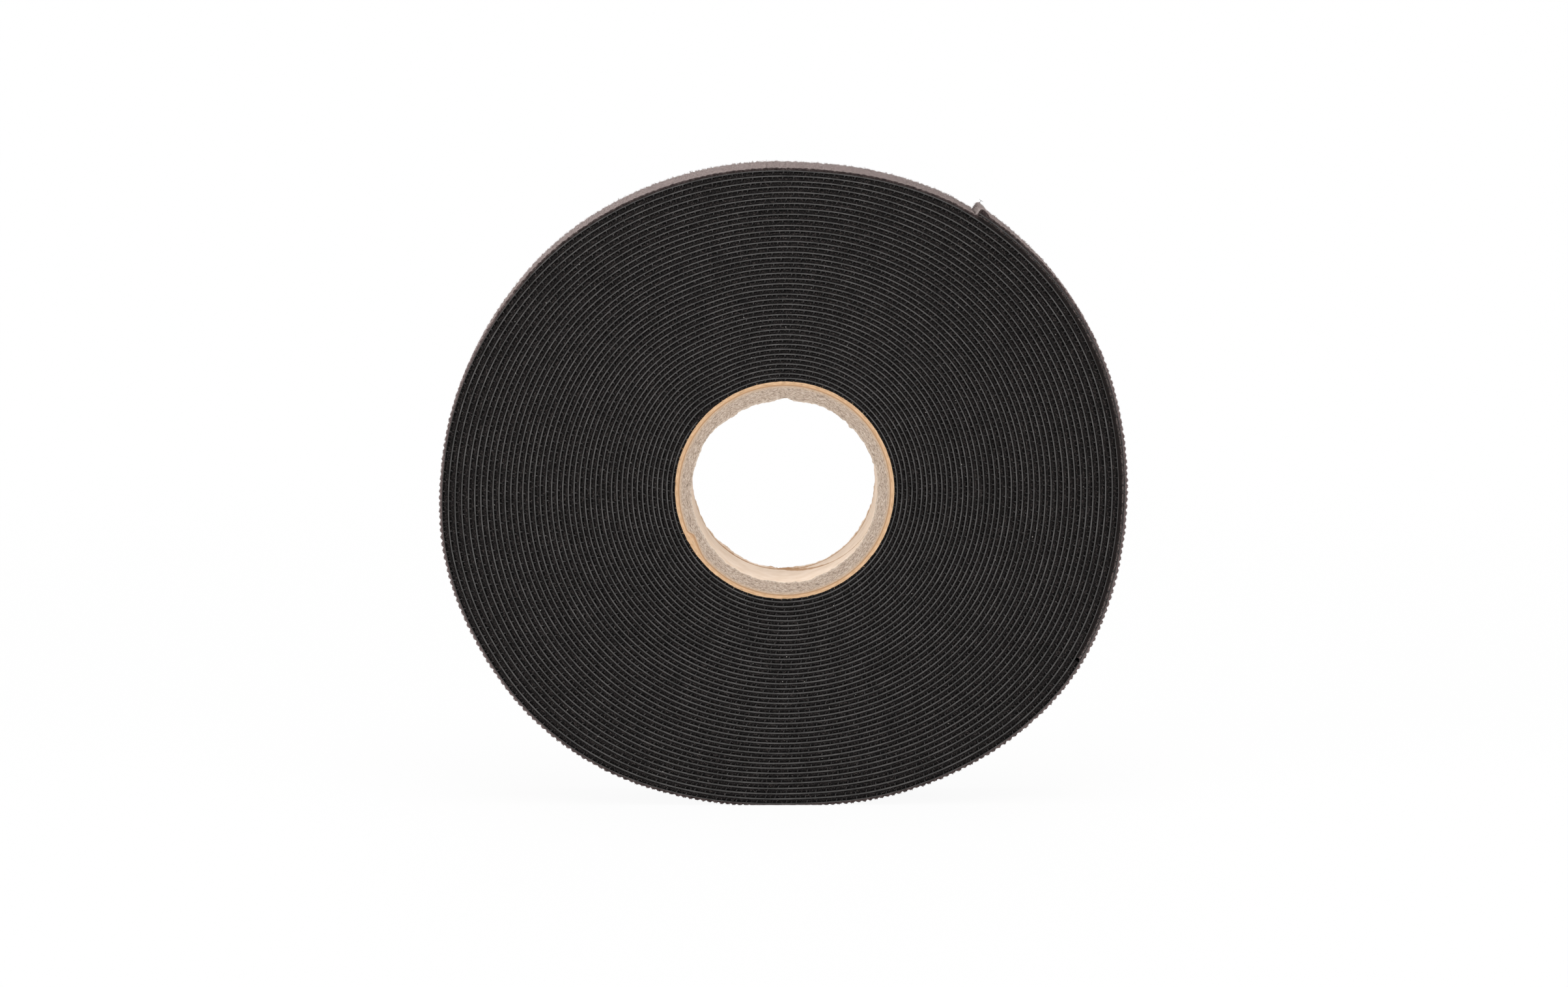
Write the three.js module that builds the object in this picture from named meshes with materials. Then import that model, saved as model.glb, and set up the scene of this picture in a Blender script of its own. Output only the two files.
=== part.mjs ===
// Roll of back-to-back hook and loop tape on a spiral-wound paper core.
// Millimetres, +Z up. The roll stands on its rim: its axis lies along Y over the origin, and its
// front face looks towards -Y. Angles run counter-clockwise from +X, seen from the front.
import * as THREE from 'three';

const { degToRad, radToDeg, smoothstep } = THREE.MathUtils;
const FULL_TURN = 2 * Math.PI;

// Paper core, from the bore outwards
const BORE_DIAMETER = 50;
const LINER_THICKNESS = 0.4;
const BOARD_PLY_THICKNESS = 0.72;
const BOARD_PLY_COUNT = 4;
const KRAFT_PLY_THICKNESS = 0.56;
const KRAFT_PLY_COUNT = 2;
const GLUE_LINE = 0.02;
const CORE_FACETS = 80;

// Bond strip that holds the inner end of the tape to the core
const BOND_LENGTH = 20;
const BOND_WIDTH = 21;
const BOND_THICKNESS = 0.15;
const BOND_CLEARANCE = 0.15;

// Tape: the real turns are pressed together, and each loop of the solid stands for 1.7 of them
const TAPE_WIDTH = 25;
const TAPE_THICKNESS = 1.33;
const TURN_COUNT = 41;
const LOOP_COUNT = 24;
const LOOP_STEPS = 45;
const LOOP_FINE_STEPS = 8;
const LOOP_GAP = 0.45;
const INNER_END_ANGLE = degToRad(141.5);
const TAIL_END_ANGLE = degToRad(55);
const STEP_UP_ARC = degToRad(36);

// Slack: how much wider than at the core the loops lie at the rim, all round, at the top, at the
// sides, on the lower haunches and on the four shoulders. Sides and haunches lean a little.
const ALL_ROUND_SLACK_SHARE = 0.256;
const TOP_SLACK_SHARE = 0.024;
const SIDES_SLACK_SHARE = 0.077;
const SIDES_SLACK_LEAN = degToRad(6.2);
const HAUNCHES_SLACK_SHARE = 0.04;
const HAUNCHES_SLACK_LEAN = degToRad(-5.5);
const SHOULDERS_SLACK_SHARE = 0.021;
const REST_FLAT_DEPTH = 0.5;

// Tail: the free end of the outermost loop, a chain of stiff lengths that peels off the roll
const TAIL_SEGMENT_COUNT = 8;
const TAIL_SEGMENT_ARC = degToRad(10);
const TAIL_SEGMENT_STEPS = 2;
const TAIL_END_GAP = 0.3;
const HOOK_STRIP_THICKNESS = 1;
const PEEL_PER_SEGMENT = degToRad(20);

const LINER_COLOUR = 0xe9d8c2;
const BOARD_COLOUR = 0xb3a394;
const KRAFT_COLOUR = 0xc9986a;
const BOND_COLOUR = 0xd8cfae;
const TAPE_COLOUR = 0x1f1e1f;
const HOOK_COLOUR = 0x2c2b2c;
const LOOP_COLOUR = 0x19181a;

const PLY_COUNT = 1 + BOARD_PLY_COUNT + KRAFT_PLY_COUNT;
const WALL_THICKNESS =
  LINER_THICKNESS +
  BOARD_PLY_COUNT * BOARD_PLY_THICKNESS +
  KRAFT_PLY_COUNT * KRAFT_PLY_THICKNESS +
  (PLY_COUNT - 1) * GLUE_LINE;
const CORE_RADIUS = BORE_DIAMETER / 2 + WALL_THICKNESS;
const CORE_LENGTH = TAPE_WIDTH;
const BED_RADIUS = CORE_RADIUS + BOND_THICKNESS + 2 * BOND_CLEARANCE;
const LOOP_PITCH = (TAPE_THICKNESS * TURN_COUNT) / LOOP_COUNT;
const LOOP_STEP = FULL_TURN / LOOP_STEPS;
const TAPE_TRAVEL = LOOP_COUNT * FULL_TURN - (INNER_END_ANGLE - TAIL_END_ANGLE);
const TAIL_ARC = TAIL_SEGMENT_COUNT * TAIL_SEGMENT_ARC;
const TAIL_TRAVEL = TAPE_TRAVEL - TAIL_ARC;

const group = new THREE.Group();
group.name = 'hook_and_loop_tape_roll';

// Share by which the outermost loops lie wider than the innermost, at an angle round the roll.
function slackAt(angle) {
  return (
    ALL_ROUND_SLACK_SHARE +
    TOP_SLACK_SHARE * Math.sin(angle) +
    SIDES_SLACK_SHARE * Math.cos(2 * (angle - SIDES_SLACK_LEAN)) -
    HAUNCHES_SLACK_SHARE * Math.sin(3 * (angle - HAUNCHES_SLACK_LEAN)) -
    SHOULDERS_SLACK_SHARE * Math.cos(4 * angle)
  );
}

// Radius over a number of wound loops: their pitch widens evenly from the core to the rim.
function woundRadius(angle, loops) {
  const widened = loops + (slackAt(angle) * loops * loops) / (2 * LOOP_COUNT);
  return BED_RADIUS + LOOP_PITCH * widened;
}

// Loops that lie under the tape at a travelled angle: it steps up where it crosses its inner end.
function loopsBelow(travel) {
  const turns = travel / FULL_TURN;
  const whole = Math.floor(turns);
  return whole + smoothstep(turns - whole, 1 - STEP_UP_ARC / FULL_TURN, 1);
}

// Angle and radii of the tape's two faces at a travelled angle, before the roll is set down.
function tapeAt(travel) {
  const angle = INNER_END_ANGLE + travel;
  const below = loopsBelow(travel);
  return {
    angle,
    inner: woundRadius(angle, below),
    outer: woundRadius(angle, below + 1) - LOOP_GAP,
  };
}

// Travelled angles of a stretch of tape: its two ends, the steps that all loops share, and any more.
function travelSteps(from, to, more = []) {
  const steps = new Set([from, to, ...more]);
  for (let i = Math.floor(from / LOOP_STEP) + 1; i * LOOP_STEP < to; i++) steps.add(i * LOOP_STEP);
  return [...steps].sort((a, b) => a - b);
}

// The lowest stretch of the outermost loop is pressed flat on the floor, by a set depth.
const underside = [];
for (let i = LOOP_FINE_STEPS * (LOOP_COUNT - 1) * LOOP_STEPS; ; i++) {
  const travel = (i / LOOP_FINE_STEPS) * LOOP_STEP;
  if (travel > TAIL_TRAVEL) break;
  const { angle, outer } = tapeAt(travel);
  underside.push({ travel, reach: -outer * Math.sin(angle) });
}
const AXIS_HEIGHT = Math.max(...underside.map(({ reach }) => reach)) - REST_FLAT_DEPTH;
const restFlat = underside.filter(({ reach }) => reach > AXIS_HEIGHT).map(({ travel }) => travel);
const REST_FLAT_ENDS = [restFlat[0], restFlat[restFlat.length - 1]];

// Radius of a point kept above the floor.
function pressed(radius, angle) {
  const drop = -Math.sin(angle);
  return drop > 0 ? Math.min(radius, AXIS_HEIGHT / drop) : radius;
}

function polar(angle, radius, y) {
  return new THREE.Vector3(radius * Math.cos(angle), y, radius * Math.sin(angle));
}

// Four corners of a strip across its width, from the front edge of its inner face.
function stripSection(angle, inner, outer, width) {
  const outerRadius = pressed(outer, angle);
  return [
    polar(angle, inner, -width / 2),
    polar(angle, outerRadius, -width / 2),
    polar(angle, outerRadius, width / 2),
    polar(angle, inner, width / 2),
  ];
}

// One closed strip through its sections, capped at both ends.
function stripGeometry(sections) {
  const index = [0, 2, 1, 0, 3, 2];
  const corners = 4;
  for (let i = 0; i + 1 < sections.length; i++) {
    for (let j = 0; j < corners; j++) {
      const a = corners * i + j;
      const b = corners * i + ((j + 1) % corners);
      index.push(a, b + corners, a + corners, a, b, b + corners);
    }
  }
  const last = corners * (sections.length - 1);
  index.push(last, last + 1, last + 2, last, last + 2, last + 3);
  const geometry = new THREE.BufferGeometry().setFromPoints(sections.flat());
  geometry.setIndex(index);
  geometry.computeVertexNormals();
  return geometry;
}

function tubeGeometry(innerRadius, thickness, length) {
  const outerRadius = innerRadius + thickness;
  const profile = [
    new THREE.Vector2(innerRadius, -length / 2),
    new THREE.Vector2(outerRadius, -length / 2),
    new THREE.Vector2(outerRadius, length / 2),
    new THREE.Vector2(innerRadius, length / 2),
    new THREE.Vector2(innerRadius, -length / 2),
  ];
  return new THREE.LatheGeometry(profile, CORE_FACETS);
}

function addPiece(name, geometry, color, roughness) {
  const material = new THREE.MeshStandardMaterial({ color, roughness, metalness: 0 });
  const mesh = new THREE.Mesh(geometry, material);
  mesh.name = name;
  mesh.position.z = AXIS_HEIGHT;
  group.add(mesh);
}

// Core: liner, board plies and kraft plies, each a tube with a glue line between it and the next.
function addCore() {
  let radius = BORE_DIAMETER / 2;
  const addPly = (name, thickness, color) => {
    addPiece(name, tubeGeometry(radius, thickness, CORE_LENGTH), color, 0.9);
    radius += thickness + GLUE_LINE;
  };
  addPly('core_liner', LINER_THICKNESS, LINER_COLOUR);
  for (let i = 1; i <= BOARD_PLY_COUNT; i++) addPly(`core_board_${i}`, BOARD_PLY_THICKNESS, BOARD_COLOUR);
  for (let i = 1; i <= KRAFT_PLY_COUNT; i++) addPly(`core_kraft_${i}`, KRAFT_PLY_THICKNESS, KRAFT_COLOUR);
}

// Bond strip: lies on the core under the first stretch of the tape, hidden between its edges.
function addBondStrip() {
  const inner = CORE_RADIUS + BOND_CLEARANCE;
  const outer = inner + BOND_THICKNESS;
  const sections = travelSteps(0, BOND_LENGTH / outer).map((travel) =>
    stripSection(INNER_END_ANGLE + travel, inner, outer, BOND_WIDTH),
  );
  addPiece('core_bond_strip', stripGeometry(sections), BOND_COLOUR, 0.5);
}

// Least distance between the outer face of a loop and the inner face of the loops over it.
function leastLoopGap(tape) {
  const inner = tape.map(({ angle, inner: radius }) => polar(angle, radius, 0));
  const outer = tape.map(({ angle, outer: radius }) => polar(angle, radius, 0));
  const nearest = new THREE.Vector3();
  const distance = (point, from, to) =>
    new THREE.Line3(from, to).closestPointToPoint(point, true, nearest).distanceTo(point);
  let least = Infinity;
  for (let i = 0; i < tape.length; i++) {
    for (let j = i + Math.ceil(LOOP_STEPS / 2); j + 1 < tape.length; j++) {
      const fromBelow = distance(outer[i], inner[j], inner[j + 1]);
      const fromAbove = distance(inner[j], outer[i], outer[i + 1]);
      least = Math.min(least, fromBelow, fromAbove);
    }
  }
  return least;
}

// Winding: one unbroken strip from the bond strip on the core to the root of the tail.
function addWinding() {
  const end = TAIL_TRAVEL - TAIL_END_GAP / (2 * tapeAt(TAIL_TRAVEL).outer);
  const tape = travelSteps(0, end, REST_FLAT_ENDS).map(tapeAt);
  const sections = tape.map(({ angle, inner, outer }) => stripSection(angle, inner, outer, TAPE_WIDTH));
  addPiece('tape_winding', stripGeometry(sections), TAPE_COLOUR, 0.95);
  console.log(`tape_winding: least gap to itself ${leastLoopGap(tape).toFixed(3)} mm`);
}

// Radius of the film between the hook strip and the loop strip, where the tail bends.
function filmRadius(travel) {
  return tapeAt(travel).inner + HOOK_STRIP_THICKNESS + GLUE_LINE / 2;
}

// A length of the hook strip or the loop strip, between two travelled angles.
function tailStrip(from, to, radii) {
  const sections = [];
  for (let i = 0; i <= TAIL_SEGMENT_STEPS; i++) {
    const travel = THREE.MathUtils.lerp(from, to, i / TAIL_SEGMENT_STEPS);
    const [inner, outer] = radii(travel);
    sections.push(stripSection(INNER_END_ANGLE + travel, inner, outer, TAPE_WIDTH));
  }
  return stripGeometry(sections);
}

const hookRadii = (travel) => [tapeAt(travel).inner, filmRadius(travel) - GLUE_LINE / 2];
const loopRadii = (travel) => [filmRadius(travel) + GLUE_LINE / 2, tapeAt(travel).outer];

// Tail: each length has its hook strip and its loop strip, which is cut back to clear the peel.
function addTail() {
  for (let i = 1; i <= TAIL_SEGMENT_COUNT; i++) {
    const root = TAIL_TRAVEL + (i - 1) * TAIL_SEGMENT_ARC;
    const film = filmRadius(root);
    const halfGap = TAIL_END_GAP / (2 * film);
    const loopStrip = tapeAt(root).outer - film;
    const peelClearance = (loopStrip * Math.tan(PEEL_PER_SEGMENT)) / film;
    const from = root + halfGap;
    const to = root + TAIL_SEGMENT_ARC - halfGap;
    addPiece(`tail_hook_strip_${i}`, tailStrip(from, to, hookRadii), HOOK_COLOUR, 0.6);
    addPiece(`tail_loop_strip_${i}`, tailStrip(from + peelClearance, to, loopRadii), LOOP_COLOUR, 0.95);
    const hinge = polar(INNER_END_ANGLE + root, film, 0);
    console.log(`tail hinge ${i}: x ${hinge.x.toFixed(3)} z ${(hinge.z + AXIS_HEIGHT).toFixed(3)} mm`);
  }
  console.log(`tail peel: 0 to ${radToDeg(PEEL_PER_SEGMENT).toFixed(1)} degrees at each hinge`);
}

addCore();
addBondStrip();
addWinding();
addTail();

export default group;
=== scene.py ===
import logging
import math
from abc import ABC, abstractmethod
from dataclasses import dataclass, field
from enum import Enum

import bpy
import numpy as np
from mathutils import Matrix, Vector


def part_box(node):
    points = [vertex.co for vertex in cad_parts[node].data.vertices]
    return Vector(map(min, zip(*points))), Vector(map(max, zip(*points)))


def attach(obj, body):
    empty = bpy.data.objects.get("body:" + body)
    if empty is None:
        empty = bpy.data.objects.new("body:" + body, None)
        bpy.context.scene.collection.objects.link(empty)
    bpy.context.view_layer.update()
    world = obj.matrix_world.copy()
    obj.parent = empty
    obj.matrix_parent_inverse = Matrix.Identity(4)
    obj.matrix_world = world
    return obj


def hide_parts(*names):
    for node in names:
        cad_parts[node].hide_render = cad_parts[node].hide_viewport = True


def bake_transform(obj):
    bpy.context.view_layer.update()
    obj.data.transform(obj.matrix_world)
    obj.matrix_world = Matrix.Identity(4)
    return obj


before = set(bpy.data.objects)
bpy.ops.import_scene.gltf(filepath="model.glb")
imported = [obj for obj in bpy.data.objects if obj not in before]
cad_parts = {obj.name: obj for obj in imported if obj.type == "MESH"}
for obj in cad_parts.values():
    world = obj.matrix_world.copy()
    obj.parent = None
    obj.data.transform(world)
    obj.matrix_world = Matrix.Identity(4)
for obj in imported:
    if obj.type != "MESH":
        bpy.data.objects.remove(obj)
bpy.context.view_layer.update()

Array = np.ndarray
Tree = bpy.types.NodeTree
Socket = bpy.types.NodeSocket
Piece = bpy.types.Object
Point = tuple[float, float, float]
Pair = tuple[float, float]
Triple = tuple[float, float, float]
LOG = logging.getLogger("tape_roll")

MM = 0.001
TURN = 2.0 * math.pi
ASIDE = np.array([0.0, 1.0, 0.0])
WHITE = (1.0, 1.0, 1.0, 1.0)
SHEEN_TINT = 0xF6E2DD
# Radius in millimetres by which travelled angles on the rim are turned into lengths
RIM_RADIUS = 90.0
# Travelled angles before the tape's start, between which nothing presses on a nap
UNPRESSED = (-9.0, -8.0)
# Share of the bake map's height that a swept wall takes, and the margin round a tube's cell of the map
WALL_SHARE = 0.96
CELL_MARGIN = 0.08
# Radius and height on the bake map of the fans that close a swept shape's ends
FAN_RADIUS = 0.008
FAN_HEIGHT = 0.985
BUMP_STRENGTH = 0.6


class Face(Enum):
    """The two flat faces of the roll, by the sign of Y on which each one looks out."""

    FRONT = -1.0
    REAR = 1.0


class Ply(Enum):
    """The kinds of paper in the core's wall, by the record's material slot."""

    LINER = "liner_paper"
    BOARD = "chipboard"
    KRAFT = "kraft_paper"


# Shapes


def smoothstep(x: Array) -> Array:
    """Cubic ease 3x^2 - 2x^3 of x, held to 0..1."""
    held = np.clip(x, 0.0, 1.0)
    return held * held * (3.0 - 2.0 * held)


def lattice_noise(u: Array, v: Array, seed: int) -> Array:
    """Value noise from -1 to 1: a random height at each point of the unit lattice, eased in between.

    Args:
        u: First coordinate, in lattice steps.
        v: Second coordinate, in lattice steps.
        seed: Picks one lattice of heights.

    Returns:
        Heights, in the shape of u and v together.
    """
    u, v = np.broadcast_arrays(np.asarray(u, float), np.asarray(v, float))
    column, row = np.floor(u).astype(np.int64), np.floor(v).astype(np.int64)
    across, along = smoothstep(u - column), smoothstep(v - row)

    def height(i: Array, j: Array) -> Array:
        """Random height of lattice point i, j: its three numbers hashed to 16 bits."""
        mixed = (i * 73856093) ^ (j * 19349663) ^ (seed * 83492791)
        mixed = (mixed ^ (mixed >> 13)) * 1274126177
        return ((mixed ^ (mixed >> 16)) & 0xFFFF) / 32767.5 - 1.0

    near = height(column, row) * (1.0 - across) + height(column + 1, row) * across
    far = height(column, row + 1) * (1.0 - across) + height(column + 1, row + 1) * across
    return near * (1.0 - along) + far * along


def bells(angle: Array, shapes: tuple[Triple, ...]) -> Array:
    """Sum of bell curves round the roll: size x exp(-(degrees off its place / half width)^2).

    Args:
        angle: Angles in radians.
        shapes: Place in degrees, half width in degrees and size of each bell.

    Returns:
        The sum at each angle.
    """
    total = np.zeros_like(angle)
    for place, half, size in shapes:
        off = (np.degrees(angle) - place + 180.0) % 360.0 - 180.0
        total = total + size * np.exp(-((off / half) ** 2))
    return total


def away(angle: Array) -> Array:
    """Unit vectors (cos, 0, sin), away from the axis."""
    return np.stack([np.cos(angle), np.zeros_like(angle), np.sin(angle)], -1)


def around(angle: Array) -> Array:
    """Unit vectors (-sin, 0, cos), round the axis the way the tape is wound."""
    return np.stack([-np.sin(angle), np.zeros_like(angle), np.cos(angle)], -1)


def grid_cells(rows: int, columns: int) -> tuple[Array, Array]:
    """Row and column number of each cell of a grid, row by row."""
    row, column = np.indices((rows, columns))
    return row.ravel(), column.ravel()


def spread(way: Array, reach: Array) -> Array:
    """Offsets along strands: each strand's way, or one way for all, times its reach at each section."""
    return np.atleast_2d(way)[:, None] * reach[:, :, None]


def placed(name: str, data: bpy.types.ID) -> Piece:
    """A new object at the origin, linked into the scene."""
    made = bpy.data.objects.new(name, data)
    bpy.context.scene.collection.objects.link(made)
    return made


@dataclass
class Shell:
    """A closed surface in the making: points in millimetres, blocks of faces and their bake map."""

    points: Array
    faces: list[Array]
    maps: list[Array]
    values: dict[str, Array] = field(default_factory=dict)

    @classmethod
    def swept(cls, sections: Array, rows: int, ring: bool = False) -> "Shell":
        """A closed profile carried along a path: face i, j spans profile sides j, j+1 of sections i, i+1.

        Args:
            sections: Points, as path steps by profile points by three.
            rows: Rows that the path is folded into on the bake map.
            ring: Whether the last section joins the first; otherwise a fan closes each end.

        Returns:
            The shell, facing out.
        """
        steps, sides = sections.shape[:2]
        spans = steps if ring else steps - 1
        i, j = grid_cells(spans, sides)
        after, beside = (i + 1) % steps, (j + 1) % sides
        quads = np.stack([i * sides + j, i * sides + beside, after * sides + beside, after * sides + j], 1)
        per_row = math.ceil(spans / rows)
        left, low = (i % per_row) / per_row, (i // per_row + j / sides) * WALL_SHARE / rows
        wide, high = WALL_SHARE / per_row, 0.9 * WALL_SHARE / (rows * sides)
        corner = np.array([[0, 0], [0, high], [wide, high], [wide, 0]])
        flat = np.stack([0.01 + 0.97 * left, 0.005 + low], 1)[:, None, :] + corner
        shell = cls(sections.reshape(-1, 3), [quads], [flat])
        if not ring:
            shell.close_ends(sections)
        return shell.outward()

    def close_ends(self, sections: Array) -> None:
        """Closes the first and last section by a fan of triangles round the section's middle."""
        steps, sides = sections.shape[:2]
        side = np.arange(sides)
        turn = TURN * np.stack([side, side + 1], 1) / sides
        rim = FAN_RADIUS * np.stack([np.cos(turn), np.sin(turn)], 2)
        for end, flip in ((0, True), (steps - 1, False)):
            middle = len(self.points)
            self.points = np.vstack([self.points, sections[end].mean(0)])
            pair = np.stack([end * sides + side, end * sides + (side + 1) % sides], 1)
            self.faces.append(np.column_stack([np.full(sides, middle), pair if flip else pair[:, ::-1]]))
            fan = np.concatenate([np.zeros((sides, 1, 2)), rim if flip else rim[:, ::-1]], 1)
            self.maps.append(fan + [0.2 if flip else 0.6, FAN_HEIGHT])

    @classmethod
    def tubes(cls, centres: Array, side: Array, over: Array, corners: int,
              rise: Array | None = None) -> "Shell":
        """Many thin tubes: corner c of a section is centre + cos(a) side + sin(a) over, with a = c of a turn.

        Args:
            centres: Middle of each section, as tubes by sections by three.
            side: Half width of each section along its first axis, in the same shape.
            over: Half width of each section along its second axis, in the same shape.
            corners: Corners of a section.
            rise: Value "rise" of each section, as tubes by sections.

        Returns:
            The shell, facing out, with "along" (0 at the root, 1 at the tip) and "shade" (one value a tube).
        """
        count, sections = centres.shape[:2]
        turn = TURN * (np.arange(corners) + 0.5) / corners
        ring = centres[:, :, None] + (np.cos(turn)[:, None] * side[:, :, None]
                                      + np.sin(turn)[:, None] * over[:, :, None])
        k, c = grid_cells(sections - 1, corners)
        beside = (c + 1) % corners
        quads = np.stack([k * corners + c, k * corners + beside,
                          (k + 1) * corners + beside, (k + 1) * corners + c], 1)
        caps = np.stack([np.arange(corners)[::-1], (sections - 1) * corners + np.arange(corners)])
        base = np.arange(count)[:, None, None] * (sections * corners)
        cells = math.ceil(math.sqrt(count))
        cell = np.stack([np.arange(count) % cells, np.arange(count) // cells], 1)[:, None, None, :]
        step = np.array([[0, 0], [1 / corners, 0], [1 / corners, 1 / sections], [0, 1 / sections]])
        wall = np.stack([c / corners, k / sections], 1)[:, None, :] + step * 0.98
        disc = np.stack([0.08 * np.cos(turn), 0.3 / sections * np.sin(turn)], 1)
        lids = np.stack([disc + [0.25, 1 - 0.5 / sections], disc + [0.75, 1 - 0.5 / sections]])
        inside = 1.0 - 2.0 * CELL_MARGIN
        maps = [((CELL_MARGIN + inside * part + cell) / cells).reshape(-1, part.shape[1], 2)
                for part in (wall, lids)]
        faces = [(block + base).reshape(-1, block.shape[1]) for block in (quads, caps)]
        shell = cls(ring.reshape(-1, 3), faces, maps)
        shade = lattice_noise(np.arange(count) * 1.618, np.full(count, 0.5), 77)
        shell.values["shade"] = np.repeat(0.5 + 0.5 * shade, sections * corners)
        for key, value in (("along", np.linspace(0.0, 1.0, sections)), ("rise", rise)):
            if value is not None:
                shell.values[key] = np.repeat(np.broadcast_to(value, (count, sections)).ravel(), corners)
        return shell.outward()

    def outward(self) -> "Shell":
        """Turns every face over if the enclosed volume, the sum of corner products, comes out negative."""
        middle = self.points.mean(0)
        volume = 0.0
        for block in self.faces:
            corner = self.points[block] - middle
            for last in range(2, block.shape[1]):
                volume += np.einsum("ij,ij", corner[:, 0], np.cross(corner[:, last - 1], corner[:, last]))
        if volume < 0.0:
            self.faces = [block[:, ::-1] for block in self.faces]
            self.maps = [block[:, ::-1] for block in self.maps]
        return self

    def kept_above(self, floor: float) -> "Shell":
        """Presses every point that lies under a height up to it."""
        self.points[:, 2] = np.maximum(self.points[:, 2], floor)
        return self

    def piece(self, name: str, finish: "Finish", slot: str, body: str | None = None,
              crease: float | None = None) -> Piece:
        """Puts the shell into a mesh object at the origin, in metres.

        Args:
            name: Name of the object.
            finish: Its one finish.
            slot: The record's material slot; not used.
            body: The body that it rides on, or None if it rides on none.
            crease: Angle in degrees past which an edge stays sharp, or None for smooth all over.

        Returns:
            The new object.
        """
        mesh = bpy.data.meshes.new(name)
        sizes = np.concatenate([np.full(len(block), block.shape[1]) for block in self.faces])
        starts = np.concatenate([[0], np.cumsum(sizes)[:-1]])
        mesh.vertices.add(len(self.points))
        mesh.vertices.foreach_set("co", (self.points * MM).astype(np.float32).ravel())
        mesh.loops.add(int(sizes.sum()))
        corners = np.concatenate([block.ravel() for block in self.faces])
        mesh.loops.foreach_set("vertex_index", corners.astype(np.int32))
        mesh.polygons.add(len(sizes))
        mesh.polygons.foreach_set("loop_start", starts.astype(np.int32))
        mesh.polygons.foreach_set("use_smooth", np.ones(len(sizes), bool))
        for key, value in self.values.items():
            mesh.attributes.new(key, "FLOAT", "POINT").data.foreach_set("value", value.astype(np.float32))
        bake = mesh.uv_layers.new(name="OFBake")
        flat = np.concatenate([block.ravel() for block in self.maps])
        bake.data.foreach_set("uv", flat.astype(np.float32))
        mesh.update(calc_edges=True)
        if crease is not None:
            mesh.set_sharp_from_angle(angle=math.radians(crease))
        mesh.materials.append(finish.material())
        made = placed(name, mesh)
        if body is not None:
            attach(made, body)
        return made


# Finishes


def linear(colour: int) -> tuple[float, float, float, float]:
    """Linear RGBA of an sRGB hex colour."""
    channels = [((colour >> shift) & 255) / 255.0 for shift in (16, 8, 0)]
    return tuple(c / 12.92 if c <= 0.04045 else ((c + 0.055) / 1.055) ** 2.4 for c in channels) + (1.0,)


def add_node(tree: Tree, kind: str, inputs: dict | None = None, **settings: object) -> bpy.types.Node:
    """Adds a node with its settings, and sets or links its inputs.

    Args:
        tree: The material's node tree.
        kind: The node's type.
        inputs: Values, or sockets to link from, by the input's name or place.
        **settings: The node's own settings.

    Returns:
        The new node.
    """
    node = tree.nodes.new(kind)
    for key, value in settings.items():
        setattr(node, key, value)
    for key, value in (inputs or {}).items():
        if isinstance(value, Socket):
            tree.links.new(value, node.inputs[key])
        else:
            node.inputs[key].default_value = value
    return node


@dataclass(frozen=True)
class Paint:
    """A material's node tree, with a short way to add each kind of node that the finishes share."""

    tree: Tree

    def math(self, operation: str, *terms: Socket | float) -> Socket:
        """Result of an operation on values or sockets."""
        return add_node(self.tree, "ShaderNodeMath", dict(enumerate(terms)), operation=operation).outputs[0]

    def place(self) -> Socket:
        """Object coordinates, in metres."""
        return add_node(self.tree, "ShaderNodeTexCoord").outputs["Object"]

    def value(self, name: str) -> Socket:
        """A value that the mesh holds at its points."""
        return add_node(self.tree, "ShaderNodeAttribute", attribute_name=name).outputs["Fac"]

    def noise(self, place: Socket, grain_mm: float, detail: float = 2.0) -> Socket:
        """Noise with grains of a size in millimetres, over coordinates in metres."""
        inputs = {"Vector": place, "Scale": 1.0 / (grain_mm * MM), "Detail": detail}
        return add_node(self.tree, "ShaderNodeTexNoise", inputs).outputs[0]

    def ramp(self, source: Socket, stops: dict[float, int]) -> Socket:
        """Colour of a value, eased between stops that are given as place to sRGB hex."""
        node = add_node(self.tree, "ShaderNodeValToRGB", {0: source})
        while len(node.color_ramp.elements) < len(stops):
            node.color_ramp.elements.new(0.5)
        for element, place in zip(node.color_ramp.elements, sorted(stops)):
            element.position = place
            element.color = linear(stops[place])
        return node.outputs[0]

    def mix(self, share: Socket, one: Socket | tuple, other: Socket | tuple) -> Socket:
        """Colour between two, by a share that is held to 0..1."""
        return add_node(self.tree, "ShaderNodeMix", {0: share, 6: one, 7: other}, data_type="RGBA").outputs[2]

    def fade(self, source: Socket, start: float, end: Socket | float, low: float, high: float) -> Socket:
        """Value from low to high as the source goes from start to end."""
        inputs = {0: source, 1: start, 2: end, 3: low, 4: high}
        return add_node(self.tree, "ShaderNodeMapRange", inputs).outputs[0]

    def surface(self, colour: Socket, rough: float, shine: float = 0.5,
                sheen: Pair = (0.0, 0.5), bump: tuple[Socket, float] | None = None) -> None:
        """Links a colour to the shader and sets the rest of its surface.

        Args:
            colour: Base colour.
            rough: Roughness.
            shine: Specular level.
            sheen: Weight and roughness of the sheen.
            bump: Height pattern and its depth in millimetres.
        """
        shader = self.tree.nodes["Principled BSDF"]
        self.tree.links.new(colour, shader.inputs["Base Color"])
        settings = {"Roughness": rough, "Specular IOR Level": shine, "Sheen Weight": sheen[0],
                    "Sheen Roughness": sheen[1], "Sheen Tint": linear(SHEEN_TINT)}
        for key, value in settings.items():
            shader.inputs[key].default_value = value
        if bump is not None:
            inputs = {"Height": bump[0], "Strength": BUMP_STRENGTH, "Distance": bump[1] * MM}
            normal = add_node(self.tree, "ShaderNodeBump", inputs).outputs[0]
            self.tree.links.new(normal, shader.inputs["Normal"])


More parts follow.
